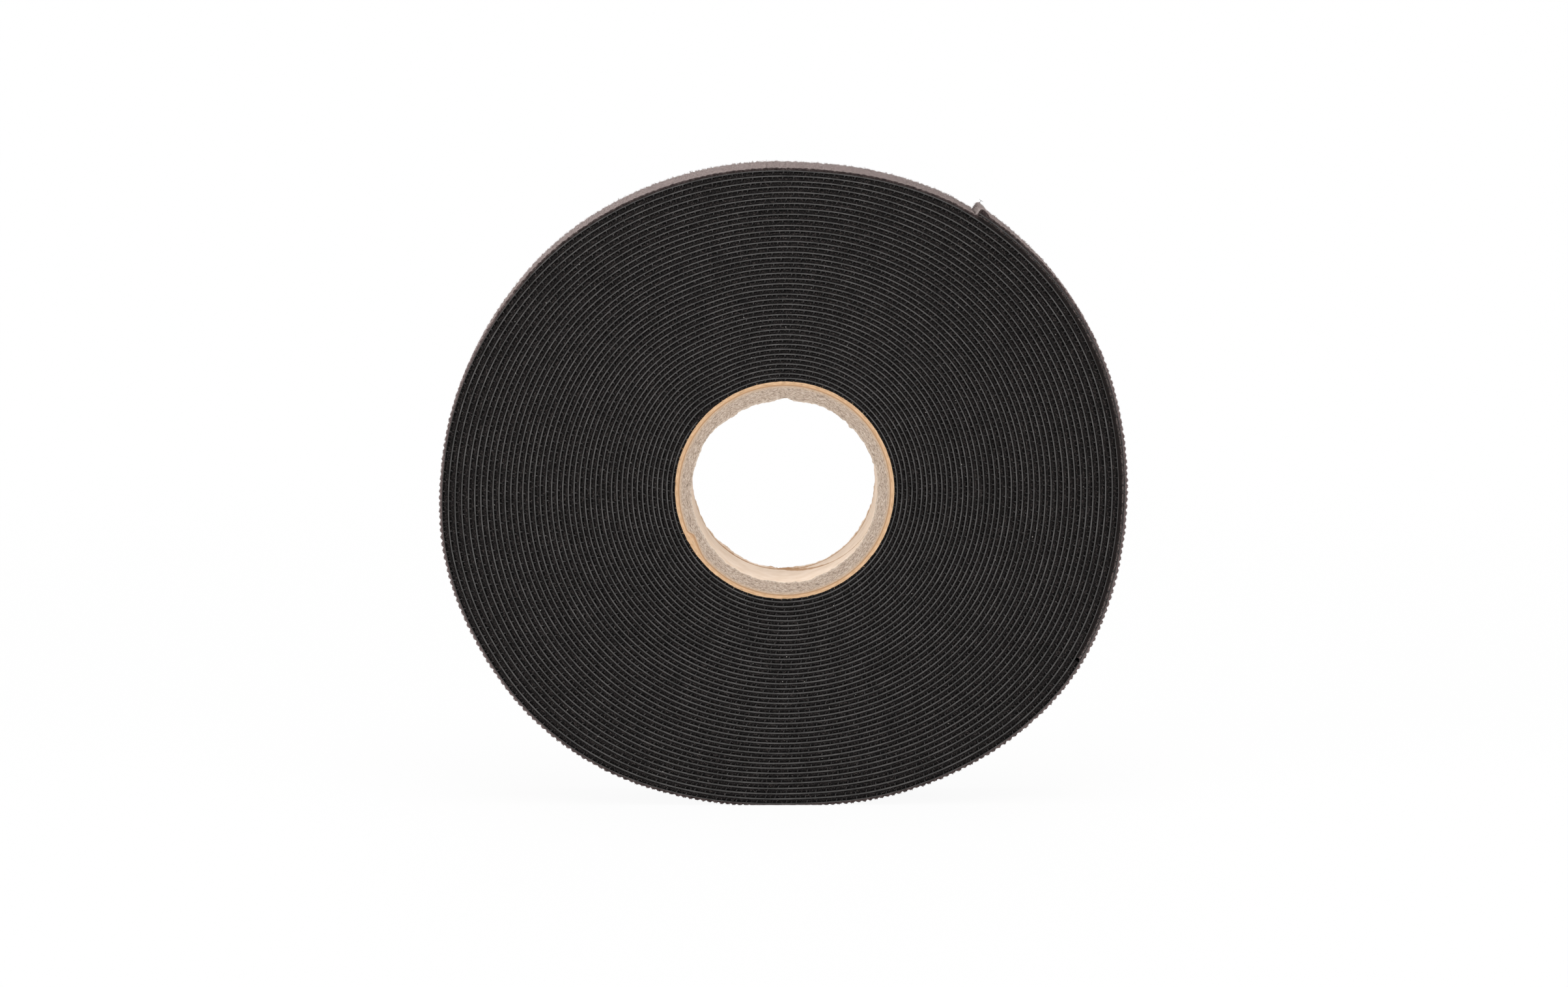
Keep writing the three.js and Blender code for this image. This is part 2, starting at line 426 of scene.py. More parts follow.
@dataclass(frozen=True)
class Finish(ABC):
    """A finish that paints one material."""

    name: str

    def material(self) -> bpy.types.Material:
        """The finish's material, made at its first use."""
        made = bpy.data.materials.get(self.name)
        if made is None:
            made = bpy.data.materials.new(self.name)
            made.use_nodes = True
            self.paint(Paint(made.node_tree))
        return made

    @abstractmethod
    def paint(self, paint: Paint) -> None:
        """Links the finish's pattern to the shader."""


@dataclass(frozen=True)
class MouldedFilm(Finish):
    """Black polyolefin film, extruded and slit: a dull cut edge, slightly streaked along the web."""

    name: str = "black_polyolefin_film_slit"
    dark: int = 0x2F2E2D
    light: int = 0x504E4D
    streak_mm: float = 3.5
    grit_mm: float = 0.25

    def paint(self, paint: Paint) -> None:
        """Mixes two greys by slow streaks and bumps the edge by fine slitting grit."""
        place = paint.place()
        colour = paint.ramp(paint.noise(place, self.streak_mm, 3.0), {0.3: self.dark, 0.7: self.light})
        paint.surface(colour, 0.52, 0.4, bump=(paint.noise(place, self.grit_mm), 0.05))


@dataclass(frozen=True)
class MouldedHooks(Finish):
    """Black polyolefin hooks, moulded with the film: pale at the root, dark at the head."""

    name: str = "black_polyolefin_hooks_moulded"
    root: int = 0x4E4A49
    head: int = 0x121010
    grain_mm: float = 0.4

    def paint(self, paint: Paint) -> None:
        """Fades from root to head along each hook, sooner on some hooks than on others."""
        share = paint.math("MULTIPLY_ADD", paint.value("shade"), 0.4, paint.value("along"))
        colour = paint.ramp(share, {0.05: self.root, 0.6: self.head})
        paint.surface(colour, 0.5, 0.4, bump=(paint.noise(paint.place(), self.grain_mm), 0.03))


@dataclass(frozen=True)
class MatedPile(Finish):
    """Loops and hooks pressed into each other between two turns: black nylon, darkened further by painted
    shade between the turns, with painted brown glints of nylon.
    """

    name: str = "black_nylon_pile_mated"
    # Near blacks that also hold painted shade between the turns, and a painted glint
    deep: int = 0x090808
    middle: int = 0x171414
    glint: int = 0x4A4341
    fibre_mm: float = 0.3

    def paint(self, paint: Paint) -> None:
        """Three near blacks by the noise of the tangled fibres, deeply bumped."""
        tangle = paint.noise(paint.place(), self.fibre_mm, 4.0)
        colour = paint.ramp(tangle, {0.34: self.deep, 0.52: self.middle, 0.7: self.glint})
        paint.surface(colour, 0.9, 0.2, bump=(tangle, 0.35))


@dataclass(frozen=True)
class BrushedNap(Finish):
    """Black nylon loops, knitted and brushed: a matt dark bed with a mauve grey sheen, with painted shade at
    its foot, a top lighter as painted light, and a pale painted sheen fringe on the roll's sides.
    """

    name: str = "black_nylon_nap_brushed"
    # The first two colours are painted shade at the nap's foot; the next three colour its top, lighter as
    # painted light, the lightest a painted bloom of sheen; the last two are a pale painted sheen fringe on
    # the roll's sides.
    shaded_hollow: int = 0x0B0A0A
    root: int = 0x211C1B
    deep: int = 0x2A2222
    middle: int = 0x493E3D
    painted_bloom: int = 0x706361
    sheen_fringe_low: int = 0x544948
    sheen_fringe_high: int = 0x9C8D8B
    clump_mm: float = 1.1
    fibre_mm: float = 0.22

    def paint(self, paint: Paint) -> None:
        """Clumps in three shades and fine fibres; "rise" goes from the foot in painted shade (0) to the top,
        lighter as painted light (1), to a pale painted sheen fringe (2).
        """
        place, rise = paint.place(), paint.value("rise")
        fibres = paint.noise(place, self.fibre_mm, 3.0)
        both = paint.math("MULTIPLY", paint.math("ADD", paint.noise(place, self.clump_mm), fibres), 0.5)
        # Top lighter as painted light, foot in painted shade, and a pale painted sheen fringe on the sides.
        top = paint.ramp(both, {0.36: self.deep, 0.5: self.middle, 0.64: self.painted_bloom})
        foot = paint.ramp(fibres, {0.4: self.shaded_hollow, 0.62: self.root})
        sheen_fringe = paint.ramp(fibres, {0.36: self.sheen_fringe_low, 0.62: self.sheen_fringe_high})
        colour = paint.mix(paint.math("SUBTRACT", rise, 1.0), paint.mix(rise, foot, top), sheen_fringe)
        paint.surface(colour, 0.95, 0.1, sheen=(1.0, 0.36), bump=(fibres, 0.3))


@dataclass(frozen=True)
class LoopYarn(Finish):
    """Fine nylon filaments of the loops: brown black at the root as painted shade, pale at the tip as painted
    light coming through.
    """

    name: str = "black_nylon_loop_filament"
    # Root colour is painted shade down in the bed; tip colour is painted light coming through the filaments.
    root: int = 0x3E3534
    middle: int = 0x807270
    tip: int = 0xDACCC8
    grain_mm: float = 0.5

    def paint(self, paint: Paint) -> None:
        """Fades from painted shade at the root to painted light at the tip, lighter on some filaments than on
        others.
        """
        uneven = paint.math("MULTIPLY_ADD", paint.value("shade"), 0.45, 0.55)
        share = paint.math("MULTIPLY", paint.value("rise"), uneven)
        colour = paint.ramp(share, {0.0: self.root, 0.45: self.middle, 0.95: self.tip})
        grain = paint.noise(paint.place(), self.grain_mm)
        paint.surface(colour, 0.7, 0.25, sheen=(0.8, 0.5), bump=(grain, 0.02))


@dataclass(frozen=True)
class PaperFinish(Finish):
    """A paper finish whose pattern follows the core's wall."""

    axis_height: float = 0.0

    def wall_place(self, paint: Paint) -> Socket:
        """Object coordinates, moved so that the core's axis runs through the middle."""
        inputs = {"Vector": paint.place(), "Location": (0.0, 0.0, -self.axis_height * MM)}
        return add_node(paint.tree, "ShaderNodeMapping", inputs).outputs[0]

    def layered(self, paint: Paint, along: float, across: float) -> tuple[Socket, bpy.types.NodeOutputs]:
        """Coordinates drawn out round the core: (x along, radius across, z along), so noise lies in layers.

        Args:
            paint: The material's nodes.
            along: Share of the pattern's scale kept round the core.
            across: Share kept across the wall.

        Returns:
            The drawn-out place, and the plain parts of the place.
        """
        parts = add_node(paint.tree, "ShaderNodeSeparateXYZ", {0: self.wall_place(paint)}).outputs
        flat = add_node(paint.tree, "ShaderNodeCombineXYZ", {0: parts[0], 1: parts[2]}).outputs[0]
        radius = add_node(paint.tree, "ShaderNodeVectorMath", {0: flat}, operation="LENGTH").outputs["Value"]
        scaled = ((parts[0], along), (radius, across), (parts[2], along), (parts[1], 0.2))
        x, r, z, y = (paint.math("MULTIPLY", source, share) for source, share in scaled)
        drawn = add_node(paint.tree, "ShaderNodeCombineXYZ", {0: x, 1: paint.math("ADD", r, y), 2: z})
        return drawn.outputs[0], parts


@dataclass(frozen=True)
class Chipboard(PaperFinish):
    """Grey chipboard of recycled fibre, cut across: layered grey tan with flecks, paler by the kraft."""

    name: str = "grey_chipboard_cut_edge"
    dark: int = 0x7A6C61
    low: int = 0xA89484
    high: int = 0xC4B1A0
    pale: int = 0xD8CABD
    layer_mm: float = 0.33
    layer_share: float = 0.58
    fleck_mm: float = 0.17
    skin: int = 0xCDB196
    skin_from: float = 27.6
    skin_to: float = 28.1

    def paint(self, paint: Paint) -> None:
        """Adds layer noise and fleck noise and ramps the sum through four shades, then mixes in the skin."""
        layers = paint.noise(self.layered(paint, 0.42, 1.4)[0], self.layer_mm, 3.0)
        flecks = paint.noise(self.wall_place(paint), self.fleck_mm)
        mixed = paint.math("MULTIPLY", layers, self.layer_share)
        total = paint.math("MULTIPLY_ADD", flecks, 1.0 - self.layer_share, mixed)
        grey = paint.ramp(total, {0.36: self.dark, 0.44: self.low, 0.54: self.high, 0.64: self.pale})
        share = paint.fade(paint.value("wall"), self.skin_from, self.skin_to, 0.0, 0.6)
        paint.surface(paint.mix(share, grey, linear(self.skin)), 0.95, 0.15, bump=(total, 0.25))


@dataclass(frozen=True)
class Kraft(PaperFinish):
    """Unbleached kraft paper, cut across: orange tan, with a line of brown glue on the board."""

    name: str = "kraft_paper_cut_edge"
    low: int = 0xC69E78
    high: int = 0xE6C29D
    glue: int = 0xB08865
    glue_radius: float = 28.5
    glue_width: float = 0.3
    fibre_mm: float = 0.45

    def paint(self, paint: Paint) -> None:
        """Layered tan, mixed to glue brown within a wavering width of the glue line's place in the wall."""
        fibres = paint.noise(self.layered(paint, 0.3, 1.2)[0], self.fibre_mm, 3.0)
        tan = paint.ramp(fibres, {0.3: self.low, 0.7: self.high})
        off = paint.math("ABSOLUTE", paint.math("SUBTRACT", paint.value("wall"), self.glue_radius))
        share = paint.fade(off, 0.0, paint.math("MULTIPLY", fibres, 2.0 * self.glue_width), 1.0, 0.0)
        paint.surface(paint.mix(share, tan, linear(self.glue)), 0.85, 0.2, bump=(fibres, 0.12))


@dataclass(frozen=True)
class LinerPaper(PaperFinish):
    """Cream machine-finished liner paper: smooth, with one brown spiral seam, grey fibre where it is cut."""

    name: str = "cream_liner_paper"
    low: int = 0xE1CBB4
    high: int = 0xEEDCCA
    seam: int = 0xB08659
    cut_low: int = 0xB5A190
    cut_high: int = 0xD6C6B6
    seam_start: float = math.radians(-92.0)
    seam_lead: float = 129.0
    half_length: float = 12.5
    seam_half: Pair = (0.6, 3.6)
    crease_from_end: float = 1.9
    crease_half: float = 0.75
    cloud_mm: float = 4.0
    waver_mm: float = 1.2
    fibre_mm: float = 0.5
    tooth_mm: float = 0.6

    def paint(self, paint: Paint) -> None:
        """Cream clouds with a seam at y = rear edge - lead x (angle - start) / turn, wider at the rear, and a
        brown crease that runs round beside the rear end, where the burr folds in: partly torn fibre, partly
        painted shade in the fold."""
        place, parts = self.layered(paint, 1.0, 1.0)
        clouds = paint.noise(self.wall_place(paint), self.cloud_mm, 4.0)
        cream = paint.ramp(clouds, {0.3: self.low, 0.65: self.high})
        waver = paint.noise(place, self.waver_mm, 3.0)
        slope, end = self.seam_lead * MM / TURN, self.half_length * MM
        angle = paint.math("ARCTAN2", parts[2], parts[0])
        climbed = paint.math("MULTIPLY_ADD", angle, slope, -slope * self.seam_start - end)
        off = paint.math("ADD", climbed, parts[1])
        width = paint.fade(parts[1], 0.0, end, 2.0 * self.seam_half[0] * MM, 2.0 * self.seam_half[1] * MM)
        seam = self.stripe(paint, off, paint.math("MULTIPLY", waver, width))
        # The crease: partly torn fibre, partly painted shade in the fold of the burr.
        beside = paint.math("SUBTRACT", parts[1], end - self.crease_from_end * MM)
        crease = self.stripe(paint, beside, paint.math("MULTIPLY", waver, 2.0 * self.crease_half * MM))
        wall = paint.mix(paint.math("MAXIMUM", seam, crease), cream, linear(self.seam))
        grey = paint.ramp(paint.noise(place, self.fibre_mm, 3.0), {0.35: self.cut_low, 0.65: self.cut_high})
        tooth = paint.noise(place, self.tooth_mm, 3.0)
        paint.surface(paint.mix(paint.value("cut"), wall, grey), 0.7, 0.3, bump=(tooth, 0.06))

    def stripe(self, paint: Paint, off: Socket, half: Socket) -> Socket:
        """Share of brown by the distance off a line: 1 on it and about it, 0 past half a width."""
        return paint.fade(paint.math("ABSOLUTE", off), 0.0, half, 1.6, 0.0)


@dataclass(frozen=True)
class Adhesive(Finish):
    """Dried hot-melt adhesive: dull straw yellow, slightly rippled."""

    name: str = "hot_melt_adhesive_dried"
    low: int = 0xC9BD97
    high: int = 0xDDD3B4
    ripple_mm: float = 1.5

    def paint(self, paint: Paint) -> None:
        """Two straw shades by ripple noise, and the same ripples as bump."""
        ripples = paint.noise(paint.place(), self.ripple_mm)
        paint.surface(paint.ramp(ripples, {0.35: self.low, 0.65: self.high}), 0.45, bump=(ripples, 0.05))


@dataclass(frozen=True)
class Dust(Finish):
    """Paper dust and lint that clings to the cut edges: off-white, matt, no two specks alike."""

    name: str = "paper_dust_and_lint"
    low: int = 0x6F6A66
    high: int = 0xCFCBC4

    def paint(self, paint: Paint) -> None:
        """Grey to off-white, one shade a speck."""
        paint.surface(paint.ramp(paint.value("shade"), {0.2: self.low, 0.8: self.high}), 0.9)


# The tape's path


@dataclass(frozen=True)
class TapeSpiral:
    """Where the tape runs: a spiral that lies wider at the sides than at the top and bottom.

    The swells are the cosine and sine shares of a mean and of one to five waves round the roll, rounded from
    a least-squares fit to the photo. Each of the bulges of the last, loose turns is a place in degrees, a
    half width in degrees and a size.
    """

    axis_height: float
    bed_radius: float = 29.97
    core_radius: float = 29.52
    turn_pitch: float = 1.33
    turn_count: float = 41.0
    film_seat: float = 0.33
    film_step: float = 0.968
    inner_end: float = math.radians(141.5)
    tail_end: float = math.radians(55.0)
    swell_cos: tuple[float, ...] = (0.263, 0.0107, 0.0887, -0.01, -0.0239, -0.0084)
    swell_sin: tuple[float, ...] = (0.0, 0.0004, 0.0249, -0.0296, 0.0003, 0.0022)
    rest_dent: float = 0.7
    rest_arc: float = math.radians(14.0)
    first_climb: float = math.radians(24.0)
    climb_spread: float = math.radians(0.5)
    start_dip: float = 0.4
    start_dip_arc: float = math.radians(14.0)
    width: float = 25.0
    film: float = 0.31
    edge_crown: float = 0.05
    edge_stray: float = 0.09
    loose: float = 0.3
    loose_turns: float = 5.0
    bulges: tuple[Triple, ...] = (
        (23, 15, 0.22), (59, 7, 0.42), (84, 12, -0.74), (159, 14, 0.25), (190, 7, 0.3), (210, 8, -0.32),
        (251, 10, -0.3), (286, 10, 0.33), (327, 12, 0.42))
    wobble: float = 0.06

    def loosened(self, angle: Array, turns: Array) -> Array:
        """How much farther out the last turns lie than the even spiral: a mean and the bulges."""
        ease = smoothstep((turns - self.turn_count) / self.loose_turns + 1.0)
        return (self.loose + bells(angle, self.bulges)) * ease

    def slack(self, angle: Array) -> Array:
        """Share by which the outer turns lie wider: a mean, and swells of one to five waves."""
        waves = np.asarray(angle)[..., None] * np.arange(len(self.swell_cos))
        return np.cos(waves) @ np.array(self.swell_cos) + np.sin(waves) @ np.array(self.swell_sin)

    def radius(self, angle: Array, turns: Array) -> Array:
        """Radius over a number of turns n: bed + pitch x (n + slack n^2 / twice the turn count)."""
        widened = turns + self.slack(angle) * turns * turns / (2.0 * self.turn_count)
        return self.bed_radius + self.turn_pitch * widened

    def film_radius(self, travel: Array) -> Array:
        """Radius of the film's middle: it climbs over the tape's own start at each turn's end, is dented by
        the floor, and wavers a little along its length."""
        turns = travel / TURN
        whole = np.floor(turns)
        climb = (self.first_climb + self.climb_spread * whole) / TURN
        below = whole + smoothstep((turns - whole - 1.0 + climb) / climb)
        dip = self.start_dip * np.exp(-np.clip(travel, 0.0, None) / self.start_dip_arc)
        angle = self.inner_end + travel
        at_rest = np.exp(-2.0 * (1.0 + np.sin(angle)) / self.rest_arc ** 2)
        dent = self.rest_dent * at_rest * np.clip(below / self.turn_count, 0.0, 1.0) ** 6
        waver = self.wobble * lattice_noise(travel * 6.0, 0.5, 31)
        seat = self.radius(angle, self.film_seat + self.film_step * below)
        return seat + self.loosened(angle, below) + waver - dip - dent

    def film_face(self, travel: Array, side: float) -> Array:
        """Radius of the film's inner face (side -1) or outer face (side 1)."""
        return self.film_radius(travel) + side * self.film / 2.0

    def under_radius(self, travel: Array) -> Array:
        """Outer radius of what lies under the film: the turn below, or the core."""
        below = self.film_face(np.maximum(travel - TURN, 0.0), 1.0)
        return np.where(travel < TURN, self.core_radius, below)

    def travel_at(self, turn: int, angle: float) -> float:
        """Travelled angle of a place on a turn, from its angle round the roll."""
        return TURN * turn + (angle - self.inner_end) % TURN

    def place(self, travel: Array, radius: Array, y: Array) -> Array:
        """Points at travelled angles, radii and places across the width."""
        angle = self.inner_end + travel
        x, z = radius * np.cos(angle), self.axis_height + radius * np.sin(angle)
        return np.stack(np.broadcast_arrays(x, y, z), -1)

    def out(self, travel: Array) -> Array:
        """Unit vectors away from the axis."""
        return away(self.inner_end + travel)

    def onward(self, travel: Array) -> Array:
        """Unit vectors along the tape, the way it is wound."""
        return around(self.inner_end + travel)

    def spaced(self, start: float, end: float, pitch: float) -> Array:
        """Travelled angles at an even pitch along the tape: its length is the sum of radius x step."""
        fine = np.linspace(start, end, max(64, int((end - start) * 60)))
        length = np.concatenate([[0.0], np.cumsum(np.diff(fine) * self.film_radius(fine)[1:])])
        return np.interp(np.arange(0.5 * pitch, length[-1], pitch), length, fine)

    def ribbon(self, travel: Array) -> Shell:
        """A length of film: its edge stands out by a crown at mid thickness and strays along the tape."""
        half, crown = self.film / 2.0, self.edge_crown
        offset = np.array([-half, 0.0, half, half, 0.0, -half])
        inset = np.array([crown, 0.0, crown, crown, 0.0, crown])
        sign = np.array([-1.0, -1.0, -1.0, 1.0, 1.0, 1.0])
        front, rear = (self.edge_stray * lattice_noise(travel / 0.5, 0.5, seed)[:, None] for seed in (5, 6))
        y = sign * (self.width / 2.0 - inset) + np.where(sign < 0.0, front, rear)
        rows = max(1, math.ceil((travel[-1] - travel[0]) / TURN))
        return Shell.swept(self.place(travel[:, None], self.film_radius(travel)[:, None] + offset, y), rows)


# The core


@dataclass
class PaperCore:
    """The spiral-wound paper core: one ring of wall for each ply, cut square and a little torn at its ends.

    Each of the droops of the front edge is a place in degrees, a half width in degrees and a size. A waver
    and a grain of the rim are a size and the grain of its noise.
    """

    axis_height: float
    bore_radius: float = 25.0
    liner: float = 0.4
    board: float = 0.72
    boards: int = 4
    kraft: float = 0.56
    krafts: int = 2
    glue: float = 0.02
    length: float = 25.0
    steps: int = 560
    ply_waver: Pair = (0.045, 6.0)
    kraft_waver: Pair = (0.05, 0.8)
    cut_depth: float = 0.08
    cut_pits: float = 0.07
    cut_grain: float = 0.6
    wall_bow: float = 0.04
    rim_grains: tuple[Pair, ...] = ((0.16, 3.0), (0.14, 1.1), (0.1, 0.45))
    tear_depth: float = 0.4
    tear_patch: float = 5.0
    tear_grain: float = 0.8
    fuzz_count: int = 220
    fuzz_depth: float = 0.25
    fuzz_length: Pair = (0.25, 0.8)
    fuzz_lift: float = 0.22
    fuzz_bow: float = 0.12
    fuzz_half: Pair = (0.03, 0.06)
    droops: tuple[Triple, ...] = (
        (100.0, 30.0, -0.75), (90.0, 4.5, 0.62), (44.5, 1.6, -0.5), (52.0, 2.0, -0.25), (78.0, 5.0, -0.2),
        (124.0, 3.0, -0.25), (147.0, 5.0, 0.3), (176.0, 3.0, -0.2), (233.0, 4.0, 0.3), (285.0, 6.0, 0.3))
    droop_run: float = 4.0
    burr: float = 0.28
    burr_run: float = 2.2
    rim_reach: float = 1.7
    lap_start: float = math.radians(202.5)
    lap_arc: float = math.radians(20.0)
    lap: float = 1.15

    @property
    def kraft_radius(self) -> float:
        """Inner radius of the kraft plies."""
        return self.bore_radius + self.liner + self.boards * (self.board + self.glue) + self.glue

    @property
    def outer_radius(self) -> float:
        """Outer radius of the core."""
        return self.kraft_radius + self.krafts * self.kraft + self.glue

    def wander(self, angle: Array, size: float, grain: float, seed: int) -> Array:
        """Noise round the core that closes on itself: lattice noise read along a circle."""
        reach = self.bore_radius / grain
        return size * lattice_noise(reach * np.cos(angle) + 7.3, reach * np.sin(angle) + 3.1, seed)

    def torn(self, angle: Array, seed: int) -> Array:
        """Depth of the tears in a liner edge: coarse patches times fine noise, only their upper part."""
        patch = np.clip(self.wander(angle, 1.0, self.tear_patch, seed) + 0.25, 0.0, 1.0)
        fine = np.clip(self.wander(angle, 1.0, self.tear_grain, seed + 1) + 0.4, 0.0, None)
        return self.tear_depth * patch * fine + self.wander(angle, 0.05, 0.4, seed + 2)

    def rim(self, angle: Array, side: Face) -> Array:
        """How far the bore's edge stands out at an end: three grains of noise, with bites and droops as
        bell curves at the front, and a burr of uneven height at the rear."""
        seed = 60 + int(side.value)
        ragged = sum(self.wander(angle, *grain, seed + 3 * i) for i, grain in enumerate(self.rim_grains))
        if side is Face.FRONT:
            return ragged + bells(angle, self.droops)
        lower = smoothstep((-np.sin(angle) - 0.1) / 0.4)
        return ragged - lower * self.burr * (1.0 + self.wander(angle, 0.9, 6.0, seed + 9))

    def drawn(self, radius: Array, angle: Array, y: Array) -> Array:
        """Radii moved by the rims of both ends, fading along the bore and into the wall, and by the lap."""
        near = np.clip(1.0 - (radius - self.bore_radius) / self.rim_reach, 0.0, 1.0)
        moved = self.lapped(radius, angle)
        for side, run in ((Face.FRONT, self.droop_run), (Face.REAR, self.burr_run)):
            fade = 1.0 - smoothstep((self.length / 2.0 - side.value * y) / run)
            moved = moved + self.rim(angle, side)[:, None] * fade * near
        return moved

    def lapped(self, radius: Array, angle: Array) -> Array:
        """Radii moved inwards where the kraft laps: a quick rise, a slow fall, most at the board's face."""
        board, kraft, outer = self.bore_radius + self.liner, self.kraft_radius, self.outer_radius
        share = np.minimum((radius - board) / (kraft - board), (outer - radius) / (outer - kraft))
        turned = (angle - self.lap_start) / self.lap_arc
        height = smoothstep(turned / 0.2) * (1.0 - smoothstep((turned - 0.2) / 0.8))
        return radius - self.lap * height[:, None] * np.clip(share, 0.0, 1.0)

    def ply(self, kind: Ply, inner: float, outer: float, seed: int) -> Shell:
        """A ring of wall: the profile runs out across the front end, back across the rear and along the bore.

        Args:
            kind: Its paper.
            inner: Inner radius.
            outer: Outer radius.
            seed: Picks its noise.

        Returns:
            The shell of the ply, with "wall" (radius before laps and bites) and "cut" (1 on its ends).
        """
        angle = np.linspace(0.0, TURN, self.steps, endpoint=False)
        cos, sin = np.cos(angle)[:, None], np.sin(angle)[:, None]
        share = np.array([0.0, 0.06, 0.3, 0.5, 0.7, 0.94, 1.0])
        low = inner + self.wander(angle, *self.ply_waver, round(inner * 50))
        high = outer + self.wander(angle, *self.ply_waver, round((outer + self.glue) * 50))
        if kind is Ply.KRAFT:
            high = high + self.wander(angle, *self.kraft_waver, seed + 5)
        closed = 0.6 * self.glue
        plain = (low - closed)[:, None] + (high - low + 2.0 * closed)[:, None] * share
        profile, wall, cut = [], [], []

        def add(radius: Array, y: Array, end: Array) -> None:
            """Adds a run of profile points at plain radii and places along the core."""
            moved = self.drawn(radius, angle, y)
            profile.append(np.stack([moved * cos, y, self.axis_height + moved * sin], 2))
            wall.append(radius)
            cut.append(np.broadcast_to(end, radius.shape))

        reached = inner < self.bore_radius + self.rim_reach
        deep = [2.0, 4.2] if reached else [4.2]
        if kind is Ply.LINER:
            deep = [1.1, 1.6, 2.2, 3.0, 4.2, 7.0, 10.0]
        run = self.length / 2.0 - np.array(deep)
        run = np.concatenate([-run, run[::-1]])
        along = np.broadcast_to(run, (self.steps, len(run)))
        for side, edge in ((Face.FRONT, high), (Face.REAR, low)):
            pits = lattice_noise(plain * cos / self.cut_grain, plain * sin / self.cut_grain, 90)
            depth = self.cut_depth + self.cut_pits * pits
            if kind is Ply.LINER:
                depth = depth + self.torn(angle, seed + int(side.value))[:, None]
            way = slice(None, None, -int(side.value))
            on_cut = (share > 0.03)[way].astype(float)
            add(plain[:, way], side.value * (self.length / 2.0 - depth[:, way]), on_cut)
            bowed = edge[:, None] + self.wall_bow * lattice_noise(angle[:, None] * 3.0, run / 5.0, seed)
            add(bowed, along[:, way], np.zeros(1))
        shell = Shell.swept(np.concatenate(profile, 1), 4, ring=True)
        shell.values = {"wall": np.concatenate(wall, 1).ravel(), "cut": np.concatenate(cut, 1).ravel()}
        return shell

    def fuzz(self) -> Shell:
        """Torn fibres on the kraft's outer edge at both ends: short bowed tubes that lean out."""
        rng = np.random.default_rng(150)
        count = self.fuzz_count
        angle, side = rng.uniform(0.0, TURN, count), np.where(np.arange(count) % 2 == 0, -1.0, 1.0)
        radius = self.outer_radius - np.abs(rng.normal(0.0, self.fuzz_depth, count))
        heading, length = angle + rng.normal(0.0, 1.0, count), rng.uniform(*self.fuzz_length, count)
        s = np.linspace(0.0, 1.0, 4)
        bow = around(heading)
        foot = np.stack([radius * np.cos(angle), side * (self.length / 2.0 - 0.06),
                         self.axis_height + radius * np.sin(angle)], 1)
        lift = side * rng.uniform(0.0, self.fuzz_lift, count)
        bowed = rng.normal(0.0, self.fuzz_bow, count)
        centre = (foot[:, None] + spread(away(heading), s * length[:, None])
                  + spread(ASIDE, s * lift[:, None]) + spread(bow, np.sin(2.5 * s) * bowed[:, None]))
        half = rng.uniform(*self.fuzz_half, count)[:, None] * np.array([1.2, 1.0, 0.8, 0.5])
        return Shell.tubes(centre, spread(bow, half), spread(ASIDE, half), 3)

    def build(self) -> list[Piece]:
        """Makes a piece for each ply, from the bore outwards, hides its solid, and adds the fuzz."""
        finishes = {Ply.LINER: LinerPaper(axis_height=self.axis_height),
                    Ply.BOARD: Chipboard(axis_height=self.axis_height),
                    Ply.KRAFT: Kraft(axis_height=self.axis_height)}
        plies = [("core_liner", Ply.LINER, self.liner)]
        plies += [(f"core_board_{i + 1}", Ply.BOARD, self.board) for i in range(self.boards)]
        plies += [(f"core_kraft_{i + 1}", Ply.KRAFT, self.kraft) for i in range(self.krafts)]
        pieces, inner = [], self.bore_radius
        for place, (node, kind, thickness) in enumerate(plies):
            shell = self.ply(kind, inner, inner + thickness, 100 + 17 * place)
            piece = shell.piece(f"{node}_paper", finishes[kind], kind.value, "roll", crease=50.0)
            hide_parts(node)
            pieces.append(piece)
            inner += thickness + self.glue
        fibre = Dust(name="kraft_fibre_torn", low=0xB08A66, high=0xE0C4A4)
        return pieces + [self.fuzz().piece("core_kraft_fuzz", fibre, Ply.KRAFT.value, "roll")]

    def dress_bond(self) -> None:
        """Gives the adhesive strip under the tape's inner end its finish."""
        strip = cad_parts["core_bond_strip"]
        strip.data.materials.clear()
        strip.data.materials.append(Adhesive().material())


# The tape


